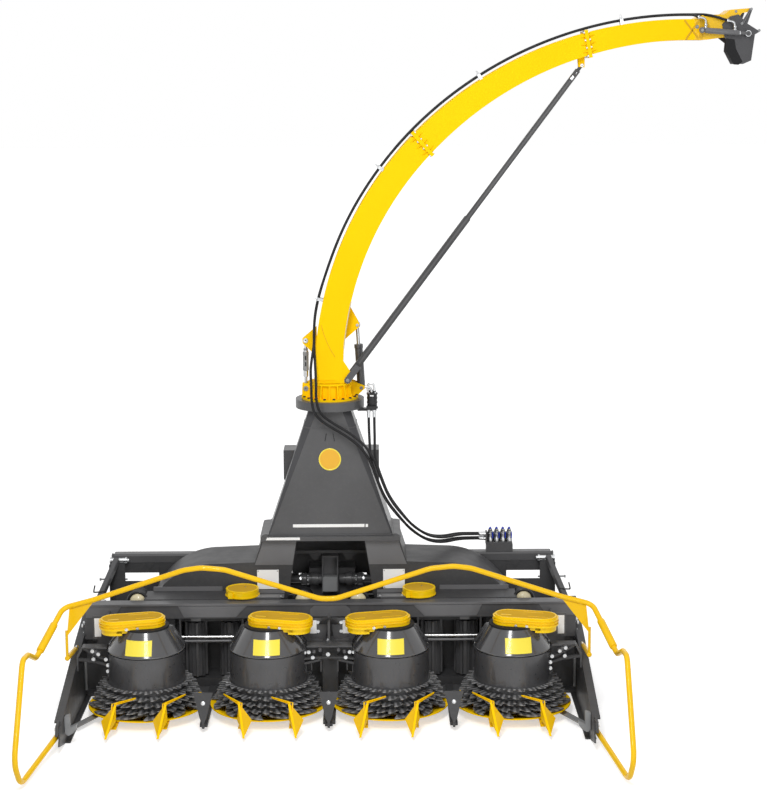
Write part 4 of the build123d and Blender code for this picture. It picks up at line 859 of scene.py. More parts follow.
class HARVESTER_OT_strippers(Maker, bpy.types.Operator):
    """Adds the scraper blocks, their bent arms and bright bolts beside the drums"""
    bl_idname = "harvester.strippers"
    bl_label = "Scrapers"

    def execute(self, context):
        def arms(s, side):
            flat_bar(s, [(0, -0.062, 0.392), (side * 0.11, -0.062, 0.389),
                (side * 0.19, -0.075, 0.384), (side * 0.262, -0.1, 0.39)], 0.012, 0.03)
            flat_bar(s, [(side * 0.06, -0.058, 0.375), (side * 0.125, -0.06, 0.36),
                (side * 0.18, -0.07, 0.35), (side * 0.248, -0.085, 0.344)], 0.016, 0.026)
            brick(s, side * 0.05, side * 0.06, -0.06, 0.03, 0.29, 0.38)
            brick(s, side * 0.112, side * 0.12, -0.06, 0.03, 0.3, 0.372)
            flat_bar(s, [(side * 1.331, -0.098, 0.388), (side * 1.4, -0.08, 0.384),
                (side * 1.49, -0.064, 0.4), (side * 1.6, -0.04, 0.455)], 0.012, 0.028)
            flat_bar(s, [(side * 1.352, -0.086, 0.352), (side * 1.43, -0.074, 0.35),
                (side * 1.52, -0.06, 0.372), (side * 1.64, -0.03, 0.38)], 0.018, 0.024)
        piece("scraper_arms", "side", "frame", both(arms), bevel=0.0015)

        def blocks(s, side):
            brick(s, side * 0.188, side * 0.256, -0.085, -0.02, 0.272, 0.34)
            brick(s, side * 0.15, side * 0.158, -0.06, 0.0, 0.28, 0.342)
            brick(s, side * 1.374, side * 1.442, -0.085, -0.02, 0.268, 0.338)
        piece("scraper_blocks", "dark", "frame", both(blocks), bevel=0.004)

        def knuckles(s, side):
            for radius, tip, tall, spots in ((0.013, 0.008, 0.01,
                    ((0.1, 0.425), (0.06, 0.436), (0.15, 0.424))), (0.015, 0.009, 0.012,
                    ((1.541, 0.444), (1.52, 0.432), (1.503, 0.423), (1.536, 0.39)))):
                for x, z in spots:
                    lathe(s, (side * x, -0.055, z), FRONT, [(-0.02, 0), (-0.02, radius),
                        (0.004, radius), (tall, tip), (tall, 0)], 14)
        piece("scraper_knuckles", "grey", "frame", both(knuckles), smooth=35)
        rows = [((x, y, z), FRONT, 0.8) for x, y, z in ((0.107, -0.08, 0.394),
            (0.198, -0.094, 0.393), (0.212, -0.088, 0.359), (0.212, -0.087, 0.318),
            (0.133, -0.068, 0.427), (1.451, -0.094, 0.396), (1.44, -0.09, 0.355),
            (1.441, -0.087, 0.314), (1.503, -0.07, 0.423), (1.541, -0.07, 0.444),
            (1.536, -0.07, 0.39), (0.162, -0.068, 0.424))]
        rows = mirror_rows(rows) + [((-0.008, -0.07, 0.412), FRONT, 0.9), ((-0.008, 0.045, 0.47),
            FRONT, 0.8)]
        bolts("scraper_bolts", "frame", rows)

        def tongue_bolt(s):
            for x in (-0.8, 0.0, 0.8):
                lathe(s, (x, -0.372, 0.19), (0, -0.946, 0.326), [(-0.012, 0), (-0.012, 0.016),
                    (0.004, 0.016), (0.009, 0.01), (0.01, 0)], 20)
        piece("tongue_bolts", "steel", "frame", tongue_bolt, smooth=40)
        return {"FINISHED"}


# ---- drums and caps -------------------------------------------------------------------
def cone_radius(z):
    return 0.252 - (z - 0.45) * 0.102 / 0.146


CAP_TURN = radians(13)
SLEEVE_X = (-1.312, -0.187, 0.187, 1.312)


def cap_point(x, lobe, along, across, z):
    """A point of a cap by its own long axis: along it, in front of it and by height."""
    turn = -lobe * CAP_TURN
    u = Vector((cos(turn), sin(turn), 0))
    v = Vector((sin(turn), -cos(turn), 0))
    return Vector((x, 0, 0)) + u * (lobe * 0.085 + along) + v * across + Vector((0, 0, z))


def cap_way(lobe):
    turn = -lobe * CAP_TURN
    return Vector((sin(turn), -cos(turn), 0))


def oblong_ring(shape, x, lobe, outer, inner, z0, z1, steps=14):
    """A closed ring between two oblongs of a cap; outer and inner are margins from its edge."""
    def loop(margin, z):
        radius, half = 0.105 - margin, 0.215 - 0.105
        spots = [(half + radius * cos(a), radius * sin(a)) for a in
            (-pi / 2 + pi * k / steps for k in range(steps + 1))]
        spots += [(-half - radius * cos(a), -radius * sin(a)) for a in
            (-pi / 2 + pi * k / steps for k in range(steps + 1))]
        return [shape.verts.new(cap_point(x, lobe, p[0], p[1], z)) for p in spots]

    join_rings(shape, [loop(outer, z0), loop(outer, z1), loop(inner, z1), loop(inner, z0)])


class HARVESTER_OT_drums(Maker, bpy.types.Operator):
    """Adds plain yellow plates and seams to the hoods, and rims and bolts to their caps"""
    bl_idname = "harvester.drums"
    bl_label = "Hoods and Caps"

    def execute(self, context):
        def plate(s, x, offset):
            """A thin plate bent round the hood's cone."""
            steps, z0, z1 = 10, 0.461, 0.547
            grids = []
            for lift in (0.0008, 0.0024):
                grid = []
                for row in range(5):
                    z = z0 + (z1 - z0) * row / 4
                    radius = cone_radius(z) + lift
                    grid.append([s.verts.new((x + radius * sin(a), -radius * cos(a), z)) for a in
                        ((offset + 0.088 * (2 * k / steps - 1)) / radius for k in
                        range(steps + 1))])
                grids.append(grid)
            for grid in grids:
                for a, b in zip(grid, grid[1:]):
                    for k in range(steps):
                        s.faces.new((a[k], a[k + 1], b[k + 1], b[k]))
            low, high = grids
            rim = [(0, k) for k in range(steps)] + [(r, steps) for r in range(4)]
            rim += [(4, k) for k in range(steps, 0, -1)] + [(r, 0) for r in range(4, 0, -1)]
            for (r0, c0), (r1, c1) in zip(rim, rim[1:] + rim[:1]):
                s.faces.new((low[r0][c0], low[r1][c1], high[r1][c1], high[r0][c0]))

        # Bars along the fins' bent edges and arms, brighter yellow than the fins: real edges, their
        # brightness a painted highlight.
        def spines(s):
            for x, flip in zip(ROTOR_X, (1, -1, 1, -1)):
                for tip, bend, arm in ((-0.198, -0.148, (-0.034, -0.322)), (0.13, 0.169,
                        (0.277, -0.255))):
                    low = Vector((x + flip * tip, -0.581, 0.03))
                    high = Vector((x + flip * bend, -0.416, 0.21))
                    far = Vector((x + flip * arm[0], arm[1], 0.21))
                    wide = Vector((0.0075, 0, 0))
                    prism(s, [low - wide, high - wide, high + wide, low + wide], (0, -0.005, 0.003))
                    along = (far - high).normalized()
                    side = Vector((-along.y, along.x, 0)) * 0.006
                    prism(s, [high - side, far - side * 0.6, far + side * 0.6, high + side], (0, 0,
                        0.004))
        piece("fin_spines_painted_highlight", "yellow", "frame", spines, bevel=0.001)

        def plates(s):
            for x, offset in zip(ROTOR_X, (-0.024, 0.0, 0.0, 0.024)):
                plate(s, x, offset)
        piece("hood_plates", "amber", "frame", plates, smooth=40)

        def seams(s):
            for x in ROTOR_X:
                lathe(s, (x, 0, 0), UP, [(0.442, 0.25), (0.442, 0.2535), (0.446, 0.2548),
                    (0.45, 0.2535), (0.451, 0.25)], 72)
        piece("hood_seams", "hood", "frame", seams, smooth=50)
        piece("hood_tops", "near_black", "frame", lambda s:
            [lathe(s, (x, 0, 0), UP, [(0.592, 0.03), (0.59, 0.1555), (0.597, 0.1562),
            (0.602, 0.154), (0.6025, 0.03)], 60) for x in ROTOR_X], smooth=50)

        def arms(s):
            for x in ROTOR_X:
                for side in SIDES:
                    prism(s, [(x + side * 0.135, -0.01, 0.6), (x + side * 0.172, 0.02, 0.585),
                        (x + side * 0.252, 0.06, 0.452), (x + side * 0.238, 0.03, 0.452)],
                        (side * 0.004, 0.022, 0))
        piece("hood_side_ribs", "hood", "frame", arms, bevel=0.002)

        def rims(s):
            for x, lobe in DRUMS:
                oblong_ring(s, x, lobe, 0.011, 0.022, 0.648, 0.66)
                oblong_ring(s, x, lobe, -0.0025, 0.012, 0.624, 0.63)
                oblong_ring(s, x, lobe, 0.014, 0.02, 0.578, 0.607)
        piece("cap_rims", "yellow_cap", "frame", rims, bevel=0.0012, smooth=35)
        # Darker yellow panels over the tops of the rotor and roller caps: painted shade on their
        # upward faces.
        piece("cap_tops_painted_shade", "cap_top_shade", "frame", lambda s:
            [oblong_ring(s, x, lobe, 0.0205, 0.1048, 0.652, 0.6572) for x, lobe in DRUMS])
        piece("roller_cap_tops_painted_shade", "cap_top_shade", "frame", lambda s:
            [lathe(s, (x, ROLLER_Y, 0), UP, [(0.694, 0), (0.694, 0.098), (0.6965, 0.098),
            (0.6965, 0)], 44) for x in ROLLER_X])

        def ribs(s):
            for x, lobe in DRUMS:
                for start, end, across, lift in ((-0.02, 0.11, -0.052, 0.003), (-0.16, -0.09, 0.03,
                        0.007), (0.02, 0.15, 0.04, 0.002)):
                    spots = [cap_point(x, lobe, along, across + rise, 0.6567) for along, rise in
                        ((start, -lift), (end, -lift), (end, lift), (start, lift))]
                    prism(s, spots, (0, 0, 0.0022))
        piece("cap_ribs", "yellow_cap", "frame", ribs, bevel=0.0006)
        rows = []
        for x, lobe in DRUMS:
            for along in (-0.049, 0.022):
                rows.append((cap_point(x, lobe, along, 0.104, 0.6065), cap_way(lobe), 0.65))
        bolts("cap_bolts", "frame", rows)

        def roller_rims(s):
            for x in ROLLER_X:
                lathe(s, (x, ROLLER_Y, 0), UP, [(0.69, 0.104), (0.694, 0.1125), (0.699, 0.111),
                    (0.699, 0.1), (0.695, 0.098)], 48)
                lathe(s, (x, ROLLER_Y, 0), UP, [(0.651, 0.11), (0.651, 0.1165), (0.657, 0.1165),
                    (0.657, 0.11)], 48)
                brick(s, x - 0.09, x - 0.06, 0.405, 0.425, 0.652, 0.69)
        piece("roller_cap_rims", "yellow_cap", "frame", roller_rims, smooth=35)
        bolts("roller_cap_bolts", "frame", [((x + 0.02, 0.54, 0.695), UP, 0.5) for x in ROLLER_X])

        def seals(s):
            for x in SLEEVE_X:
                ring = [(0.064 + 0.011 * cos(a), 0.011 * sin(a)) for a in
                    (2 * pi * k / 12 for k in range(12))]
                lathe(s, (x, 0.505, DOME_Z), BACK, [(z, r) for r, z in ring], 44)
                lathe(s, (x, 0.505, DOME_Z), BACK, [(0.004, 0.045), (0.004, 0.058), (0.12, 0.058),
                    (0.124, 0.062), (0.135, 0.062), (0.135, 0.045)], 44)
        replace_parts(piece("dome_seals", "black", "frame", seals, smooth=60), "shaft_guards")

        def domes(s):
            for x in SLEEVE_X:
                lathe(s, (x, 0.508, DOME_Z), FRONT, [(0, 0), (0, 0.055)] +
                    [(0.04 * sin(a), 0.055 * cos(a)) for a in
                    (radians(d) for d in range(15, 90, 15))] + [(0.04, 0)], 40)
        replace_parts(piece("dome_ends", "cream", "frame", domes, smooth=60), "guard_domes")
        return {"FINISHED"}


# ---- sides and rear -------------------------------------------------------------------
class HARVESTER_OT_sides(Maker, bpy.types.Operator):
    """Adds the corner brackets, side rods, strut flanges and guard sleeves"""
    bl_idname = "harvester.sides"
    bl_label = "Side Fittings"

    def execute(self, context):
        piece("corner_brackets", "zinc_grey", "frame", both(lambda s,
            side: sheet(s, -0.6, 0.04, [(1.648, 0.188), (1.613, 0.198), (1.613, 0.118),
            (1.572, 0.138), (1.576, 0.103), (1.596, 0.078), (1.628, 0.06), (1.648, 0.078)], side)),
            bevel=0.004)
        piece("side_straps", "zinc_grey", "frame", both(lambda s,
            side: prism(s, [(side * 1.64, -0.33, 0.03), (side * 1.6, -0.365, 0.03),
            (side * 1.49, -0.15, 0.03), (side * 1.53, -0.115, 0.03)], (0, 0, 0.01))), bevel=0.002)

        def rods(s, side):
            lathe(s, (side * 1.638, 0.245, 0.075), UP, [(0, 0), (0, 0.009), (0.003, 0.01),
                (0.197, 0.01), (0.2, 0.009), (0.2, 0)], 14)
            lathe(s, (side * 1.47, 1.195, 0.576), (side, 0, 0), [(0, 0), (0, 0.006), (0.19, 0.006),
                (0.19, 0.011), (0.2, 0.011), (0.2, 0)], 14)
        piece("side_rods", "zinc_grey", "frame", both(rods), smooth=35)

        def flanges(s, side):
            brick(s, side * 1.48, side * 1.587, 1.15, 1.16, 0.33, 0.705)
            brick(s, side * 1.577, side * 1.587, 1.1, 1.21, 0.33, 0.705)
            brick(s, side * 1.19, side * 1.48, 1.15, 1.158, 0.33, 0.574)
            brick(s, side * 1.05, side * 1.245, 1.205, 1.213, 0.48, 0.695)
            brick(s, side * 1.24, side * 1.56, 1.205, 1.213, 0.62, 0.695)
            sheet(s, 1.2, 0.006, [(1.27, 0.7), (1.35, 0.7), (1.31, 0.64)], side)
        piece("rear_plates", "side", "frame", both(flanges), bevel=0.0015)

        def struts(s, side):
            flat_bar(s, [(side * 1.54, 1.16, 0.722), (side * 1.638, 0.9, 0.5),
                (side * 1.644, 0.735, 0.42)], 0.05, 0.04)
        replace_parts(piece("strut_bars", "dark", "frame", both(struts), bevel=0.003), "side_struts")

        def strut_pins(s, side):
            lathe(s, (side * 1.454, 1.18, 0.72), (side, 0, 0), [(0, 0), (0, 0.012), (0.012, 0.012),
                (0.014, 0.022), (0.026, 0.022), (0.028, 0.017), (0.12, 0.017), (0.122, 0.022),
                (0.136, 0.022), (0.136, 0)], 20)
            lathe(s, (side * 1.585, 0.885, 0.5), (side, 0, 0), [(0, 0), (0, 0.014), (0.01, 0.014),
                (0.012, 0.019), (0.03, 0.019), (0.032, 0.011), (0.08, 0.011), (0.08, 0)], 18)
        piece("strut_pins", "steel", "frame", both(strut_pins), smooth=35)

        def sleeves(s, side):
            a, b = Vector((side * 1.8, -0.645, 0.585)), Vector((side * 1.69, -0.25, 0.791))
            way = b - a
            lathe(s, a + way * 0.14, way, [(0, 0.015), (0, 0.0225), (0.006, 0.0245),
                (0.235, 0.0245), (0.242, 0.0225), (0.242, 0.015)], 22)
        piece("guard_sleeves", "guard", "frame", both(sleeves), smooth=35)

        def supports(s, side):
            a = Vector((side * 1.674, -0.262, 0.458))
            b = Vector((side * 1.672, 0.09, 0.415))
            lathe(s, a, b - a, [(0, 0), (0, 0.01), (0.006, 0.016), (0.33, 0.016), (0.34, 0.01),
                (0.34, 0)], 16)
        piece("guard_stays", "guard", "frame", both(supports), smooth=35)
        bolts("guard_bolts", "frame", mirror_rows([((1.66, 0.06, 0.432), (1, 0, 0), 1.0)]))
        pins = pipe_mesh("lock_pins", [([(side * 1.6, 0.935, 0.56), (side * 1.672, 0.935, 0.552),
            (side * 1.676, 0.93, 0.56), (side * 1.664, 0.925, 0.606)], 0.005) for side in SIDES])
        settle("lock_pins", pins, "black", "frame", smooth=60)
        bolts("side_plate_bolts", "frame", mirror_rows([((1.66, y, z), (1, 0, 0), 1.2) for y,
            z in ((0.345, 0.49), (0.41, 0.49), (0.345, 0.43), (0.41, 0.43), (0.33, 0.08),
            (0.47, 0.08), (0.7, 0.08), (0.74, 0.455))] +
            [((1.674, y, z), (1, 0, 0), 1.0) for y, z in ((-0.7, 0.165), (-0.745, 0.16))]))
        return {"FINISHED"}


class HARVESTER_OT_rear(Maker, bpy.types.Operator):
    """Adds the cross bar, stand legs, covers, shields, pins and bolts at the tractor's side"""
    bl_idname = "harvester.rear"
    bl_label = "Rear Fittings"

    def execute(self, context):
        def covers(s):
            for x in (-HOUSING_X, HOUSING_X):
                lathe(s, (x, 1.11, HOUSING_Z), BACK, [(-0.005, 0), (-0.005, 0.17), (0.01, 0.17),
                    (0.014, 0.166), (0.014, 0.1), (0.04, 0.092), (0.04, 0)], 40)
            lathe(s, (0, 1.23, SPLINE_Z), BACK, [(0, 0.04), (0, 0.105), (0.016, 0.105),
                (0.018, 0.1), (0.018, 0.04)], 36)
            for z in (0.43, 0.47, 0.61, 0.65):
                brick(s, -0.166, 0.166, 1.006, 1.244, z, z + 0.008)
        piece("bearing_covers", "dark", "frame", covers, smooth=35)
        piece("shaft_shield", "black", "frame", lambda s: lathe(s, (0, 1.246, SPLINE_Z), BACK,
            [(0, 0.085), (0, 0.092), (0.01, 0.092), (0.08, 0.072), (0.08, 0.068), (0.012, 0.087),
            (0, 0.085)], 40), smooth=35)
        ring = [(2 * pi * k / 8) for k in range(8)]
        rows = [((x + 0.135 * cos(a), 1.124, HOUSING_Z + 0.135 * sin(a)), BACK, 1.2) for x in
            (-HOUSING_X, HOUSING_X) for a in ring if a < 0.1 or a > 3.1]
        rows += [((0.098 * cos(a), 1.248, SPLINE_Z + 0.098 * sin(a)), BACK, 0.7) for a in ring]
        rows += [((side * x, 1.29, z), BACK, 1.2) for side in SIDES for x in (0.28, 0.31) for z in
            (0.86, 1.24)]
        bolts("rear_bolts", "frame", rows)

        def fronts(s, side):
            arc = [radians(a) for a in range(146, 91, -5)]
            prism(s, [(side * (HOUSING_X - HOUSING_RADIUS * cos(a)), DUCT_FRONT_Y,
                HOUSING_Z + HOUSING_RADIUS * sin(a)) for a in arc] + [(side * 0.8, 0.64, 0.8285),
                (side * 0.262, 0.64, 0.8235), (side * 0.2875, 0.64, 0.612)], (0, -0.003, 0))
        piece("housing_fronts", "side", "frame", both(fronts), bevel=0.0012)

        def bar(s):
            """A hollow bar, its arms to the housings, stand sleeves and the uprights' feet."""
            outer = [(1.206, 0.69), (1.284, 0.69), (1.29, 0.696), (1.29, 0.751), (1.284, 0.757),
                (1.212, 0.757), (1.2, 0.745), (1.2, 0.696)]
            inner = [(1.247 + (y - 1.247) * 0.82, 0.7235 + (z - 0.7235) * 0.78) for y, z in outer]
            rings = [[s.verts.new((x, y, z)) for y, z in loop] for x, loop in ((-1.564, outer),
                (1.564, outer), (1.564, inner), (-1.564, inner))]
            join_rings(s, rings)
            for side in SIDES:
                brick(s, side * 0.75, side * 0.85, 1.11, 1.201, 0.696, 0.75)
                brick(s, side * 0.256, side * 0.336, 1.202, 1.288, 0.756, 0.812)
                for x0, x1, y0, y1 in ((0.865, 0.8745, 1.289, 1.36), (0.9255, 0.935, 1.289, 1.36),
                        (0.874, 0.926, 1.289, 1.2995), (0.874, 0.926, 1.3505, 1.36)):
                    brick(s, side * x0, side * x1, y0, y1, 0.62, 0.74)
            brick(s, 1.1, 1.29, 1.205, 1.285, 0.756, 0.812)
        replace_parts(piece("rear_bar_tube", "dark", "frame", bar, bevel=0.0015), "rear_bar")
        piece("rear_bar_top_edge", "dark", "frame", lambda s: prism(s,
            [(-1.561, 1.1995, 0.7435), (1.561, 1.1995, 0.7435), (1.561, 1.2115, 0.7575),
            (-1.561, 1.2115, 0.7575)], (0, -0.0006, 0.0006)))
        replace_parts(piece("bar_end_pins", "dark", "frame",
            lambda s: [lathe(s, (side * 1.56, 1.245, 0.724), (side, 0, 0),
            [(0, 0), (0, 0.026), (0.012, 0.026), (0.014, 0.03), (0.022, 0.03), (0.024, 0.027),
            (0.024, 0)], 24) for side in SIDES], smooth=35), "pin_sleeves")

        def stand_pins(s, side):
            lathe(s, (side * 0.85, 1.325, 0.7), (side, 0, 0), [(0, 0), (0, 0.014), (0.008, 0.014),
                (0.01, 0.008), (0.1, 0.008), (0.1, 0)], 16)
        piece("stand_pins", "steel", "frame", both(stand_pins), smooth=35)
        for side, body in ((-1, "stand_left"), (1, "stand_right")):
            # Black discs for the legs' holes: painted shade inside each hole.
            def hole_shades(s, side=side):
                for k in range(6):
                    lathe(s, (side * STAND_X, 1.3505, 0.22 + 0.085 * k), BACK, [(-0.004, 0),
                        (-0.004, 0.01), (0.0006, 0.01), (0.0006, 0)], 16)
            piece(f"{body}_holes", "black", body, hole_shades, smooth=35)

            def leg(s, side=side):
                brick(s, side * STAND_X - 0.025, side * STAND_X + 0.025, 1.3, 1.35, 0.008, 0.755)
                brick(s, side * STAND_X - 0.08, side * STAND_X + 0.08, 1.245, 1.405, 0.0, 0.01)
            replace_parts(piece(f"{body}_leg", "dark", body, leg, bevel=0.0025), body)
        return {"FINISHED"}


# ---- couplers and hose fittings --------------------------------------------------------
class HARVESTER_OT_couplers(Maker, bpy.types.Operator):
    """Makes the quick couplers with their blue levers, the hose ferrules and motor elbow"""
    bl_idname = "harvester.couplers"
    bl_label = "Couplers and Ferrules"

    def execute(self, context):
        places = (1.13, 1.175, 1.22, 1.265)

        def bodies(s):
            for x in places:
                lathe(s, (x, 1.245, 0.826), UP, [(0, 0), (0, 0.0175), (0.022, 0.0175),
                    (0.024, 0.0165), (0.04, 0.0165), (0.042, 0.0185), (0.06, 0.0185),
                    (0.062, 0.0165), (0.078, 0.0165), (0.08, 0.0125), (0.092, 0.0125), (0.092, 0)],
                    20)
        piece("coupler_bodies", "chrome", "frame", bodies, smooth=35)

        def levers(s):
            for x in places:
                sheet(s, 1.236, 0.014, [(x - 0.004, 0.9), (x + 0.004, 0.9), (x + 0.006, 0.93),
                    (x - 0.002, 0.934)])
                sheet(s, 1.222, 0.01, [(x + 0.014, 0.852), (x + 0.021, 0.852), (x + 0.021, 0.896),
                    (x + 0.014, 0.896)])
                lathe(s, (x, 1.245, 0.912), UP, [(0, 0), (0, 0.01), (0.012, 0.01), (0.016, 0.006),
                    (0.016, 0)], 14)
        piece("coupler_levers", "lever", "frame", levers, bevel=0.0008, smooth=35)

        def ferrules(s):
            for z, y in ((0.85, 1.232), (0.882, 1.232), (0.85, 1.262), (0.882, 1.262)):
                lathe(s, (HOSE_END_X + 0.002, y, z), (-1, 0, 0), [(0, 0), (0, 0.013),
                    (0.014, 0.013), (0.015, 0.0115), (0.05, 0.0115), (0.052, 0.0095), (0.052, 0)],
                    16)
            for x in (0.266, 0.304):
                lathe(s, (x, 0.726, MOTOR_PORT_Z + 0.004), (0, 0, -1), [(0, 0), (0, 0.014),
                    (0.016, 0.014), (0.017, 0.0115), (0.056, 0.0115), (0.058, 0.0095), (0.058, 0)],
                    16)
        piece("hose_ferrules", "steel", "frame", ferrules, smooth=35)

        elbow = pipe_mesh("motor_elbow", [([(0.262, 0.75, 2.006), (0.258, 0.748, 2.046),
            (0.272, 0.746, 2.062), (0.3, 0.744, 2.06), (0.306, 0.742, 2.036),
            (0.306, 0.742, 2.012)], 0.008), ([(0.286, 0.748, 2.004), (0.284, 0.745, 2.03),
            (0.262, 0.742, 2.04), (0.24, 0.74, 2.04)], 0.008)], sides=4)
        settle("motor_elbow", elbow, "steel", "frame", smooth=60)
        piece("motor_plate", "white", "frame", lambda s: brick(s, 0.276, 0.3, 0.7345, 0.7365, 1.975,
            1.992), bevel=0.0005)

        def rings(s):
            for z, r in ((1.887, 0.04), (1.925, 0.0365), (1.955, 0.0365), (1.984, 0.038)):
                lathe(s, (MOTOR_X, MOTOR_Y, z), UP, [(0, 0.03), (0, r), (0.01, r),
                    (0.012, r - 0.002), (0.012, 0.03)], 32)
        piece("motor_rings", "black", "frame", rings, smooth=35)
        bolts("motor_bolts", "frame", [((MOTOR_X + 0.03 * cos(a), MOTOR_Y + 0.03 * sin(a), 1.996),
            UP, 0.55) for a in (0.8, 2.4, 3.9, 5.5)])
        bolts("ring_bolts", "frame", [((0.215 * cos(a), TURN_Y + 0.215 * sin(a), 1.885), (0, 0, -1),
            0.6) for a in (2 * pi * k / 12 for k in range(12))], "dark")
        return {"FINISHED"}


# ---- turning collar and spout base ------------------------------------------------------
LINK_Y, TILT_Y = 0.83, 0.92
LINK_LOW, LINK_HIGH = (-0.162, 2.02), (-0.16, 2.35)
TILT_LOW, TILT_HIGH = (0.216, 2.01), (0.191, 2.443)
HINGE = (0.125, 2.085)


def pin_head(shape, x, z, y, radius, tall=0.006):
    """A pin's round head that looks towards the crop."""
    lathe(shape, (x, y, z), FRONT, [(-0.002, 0), (-0.002, radius), (tall - 0.0015, radius),
        (tall, radius - 0.002), (tall, radius * 0.35), (tall - 0.001, radius * 0.25),
        (tall - 0.001, 0)], 28)


class HARVESTER_OT_collar(Maker, bpy.types.Operator):
    """Adds ribs, bolts and pin heads to the collar and the parts round the spout's foot"""
    bl_idname = "harvester.collar"
    bl_label = "Collar and Foot"

    def execute(self, context):
        def ribs(s):
            for k in range(18):
                a = 2 * pi * (k + 0.5) / 18
                u = Vector((cos(a), sin(a), 0))
                v = Vector((-sin(a), cos(a), 0)) * 0.0035
                c = Vector((0, TURN_Y, 0))
                if u.x > 0.55 and u.y > -0.4 or u.x < -0.75:
                    continue
                prism(s, [c + u * 0.13 - v + Vector((0, 0, 1.96)),
                    c + u * 0.18 - v + Vector((0, 0, 1.96)),
                    c + u * 0.172 - v + Vector((0, 0, 1.985)),
                    c + u * 0.158 - v + Vector((0, 0, 2.056)),
                    c + u * 0.13 - v + Vector((0, 0, 2.056))], v * 2)
        piece("collar_ribs", "yellow", "turret", ribs, bevel=0.0012)
        rows = [((0.184 * cos(a), TURN_Y + 0.184 * sin(a), 1.96), UP, 0.8) for a in
            (2 * pi * k / 18 for k in range(18))]
        bolts("collar_bolts", "turret", rows, look="black")

        def top_ring(s):
            lathe(s, (0, TURN_Y, 0), UP, [(2.046, 0.13), (2.046, 0.152), (2.05, 0.155),
                (2.057, 0.155), (2.06, 0.152), (2.06, 0.13)], 60)
        piece("collar_top_ring", "yellow", "turret", top_ring, smooth=35)

        def heads(s):
            pin_head(s, *LINK_LOW, LINK_Y - 0.023, 0.0175)
            pin_head(s, *TILT_LOW, TILT_Y - 0.04, 0.0115)
            pin_head(s, *HINGE, 0.744, 0.012, 0.005)
        piece("collar_pin_heads", "zinc_grey", "turret", heads, smooth=35)

        def spout_heads(s):
            pin_head(s, *LINK_HIGH, LINK_Y - 0.023, 0.0175)
            pin_head(s, *TILT_HIGH, TILT_Y - 0.03, 0.0105)
            pin_head(s, *STRUT_TOP, STRUT_Y - 0.023, 0.012)
        piece("spout_pin_heads", "steel", "spout", spout_heads, smooth=35)

        def buckle(s):
            x0 = LINK_LOW[0]
            lathe(s, (x0 + 0.001, LINK_Y, 2.14), (0.002, 0, 1), [(0, 0.01), (0, 0.0165),
                (0.004, 0.0205), (0.024, 0.0205), (0.026, 0.0195), (0.106, 0.0195), (0.108, 0.0205),
                (0.128, 0.0205), (0.132, 0.0165), (0.132, 0.01)], 24)
            for z in (2.118, 2.282):
                lathe(s, (x0 + 0.001, LINK_Y, z), UP, [(0, 0.008), (0, 0.0165), (0.012, 0.0165),
                    (0.012, 0.008)], 6)
            for k in range(9):
                lathe(s, (x0 + 0.001, LINK_Y, 2.05 + 0.0075 * k), UP, [(0, 0.009), (0.0022, 0.0115),
                    (0.0045, 0.009)], 16)
        piece("turnbuckle_sleeve", "zinc_grey", "spout", buckle, smooth=35)
        # Black patches in the sleeve's two windows: painted shade inside the openings.
        piece("turnbuckle_window_shades", "black", "spout", lambda s:
            [brick(s, LINK_LOW[0] - 0.004, LINK_LOW[0] + 0.006, LINK_Y - 0.0202, LINK_Y - 0.0165, z,
            z + 0.03) for z in (2.172, 2.215)], bevel=0.001)

        def edge_x(z, grow=0.0):
            return 2.24 - sqrt((2.341 + grow) ** 2 - (z - 2.088) ** 2)

        def foot_plate(s):
            outer = [(edge_x(z) + 0.003, 0.76, z) for z in (2.082, 2.16, 2.24, 2.32, 2.4, 2.47)]
            seam = [(-0.056, 0.76, 2.462), (-0.04, 0.76, 2.4), (-0.018, 0.76, 2.342), (0.007, 0.76,
                2.29), (0.036, 0.76, 2.242), (0.066, 0.76, 2.204), (0.088, 0.76, 2.18), (0.088,
                0.76, 2.082)]
            prism(s, outer + seam, (0, -0.0032, 0))
            sheet(s, SPOUT_NEAR_Y, -0.0026, [(0.04, 2.25), (0.094, 2.222), (0.154, 2.128),
                (0.122, 2.066), (0.04, 2.066)])
        piece("foot_plates", "yellow", "spout", foot_plate, bevel=0.0012)
        # A darker yellow strip along the foot plate's seam: painted shade.
        piece("foot_seam_painted_shade", "seam", "spout", lambda s:
            [prism(s, [a, b, (b[0] + 0.003, b[1], b[2] + 0.001),
            (a[0] + 0.003, a[1], a[2] + 0.001)], (0, -0.0022, 0)) for a, b in zip(SEAM, SEAM[1:])])
        bolts("foot_bolts", "spout", [((x, 0.752, 2.07), FRONT, 0.7) for x in
            (-0.07, -0.02, 0.03, 0.08)], look="yellow")
        return {"FINISHED"}


SEAM = [(-0.052, 0.76, 2.462), (-0.036, 0.76, 2.4), (-0.014, 0.76, 2.342), (0.011, 0.76, 2.29),
    (0.04, 0.76, 2.242), (0.07, 0.76, 2.204), (0.092, 0.76, 2.18)]
STRUT_TOP = (1.696, 4.182)
STRUT_Y = 0.84
STRUT_HALF = 0.022
OUTER_LOW, OUTER_HIGH = ((2.24, 2.088), 2.341), ((2.364, 1.954), 2.5243)
INNER_LOW, INNER_HIGH = ((2.298, 2.106), 2.205), ((2.409, 1.957), 2.3865)
JOINT = ((0.578, 3.738), (0.694, 3.609))


def on_top(edge, x):
    (cx, cz), radius = edge
    return (x, cz + sqrt(radius ** 2 - (x - cx) ** 2))


SECOND = (on_top(OUTER_HIGH, 1.715), on_top(INNER_HIGH, 1.744))


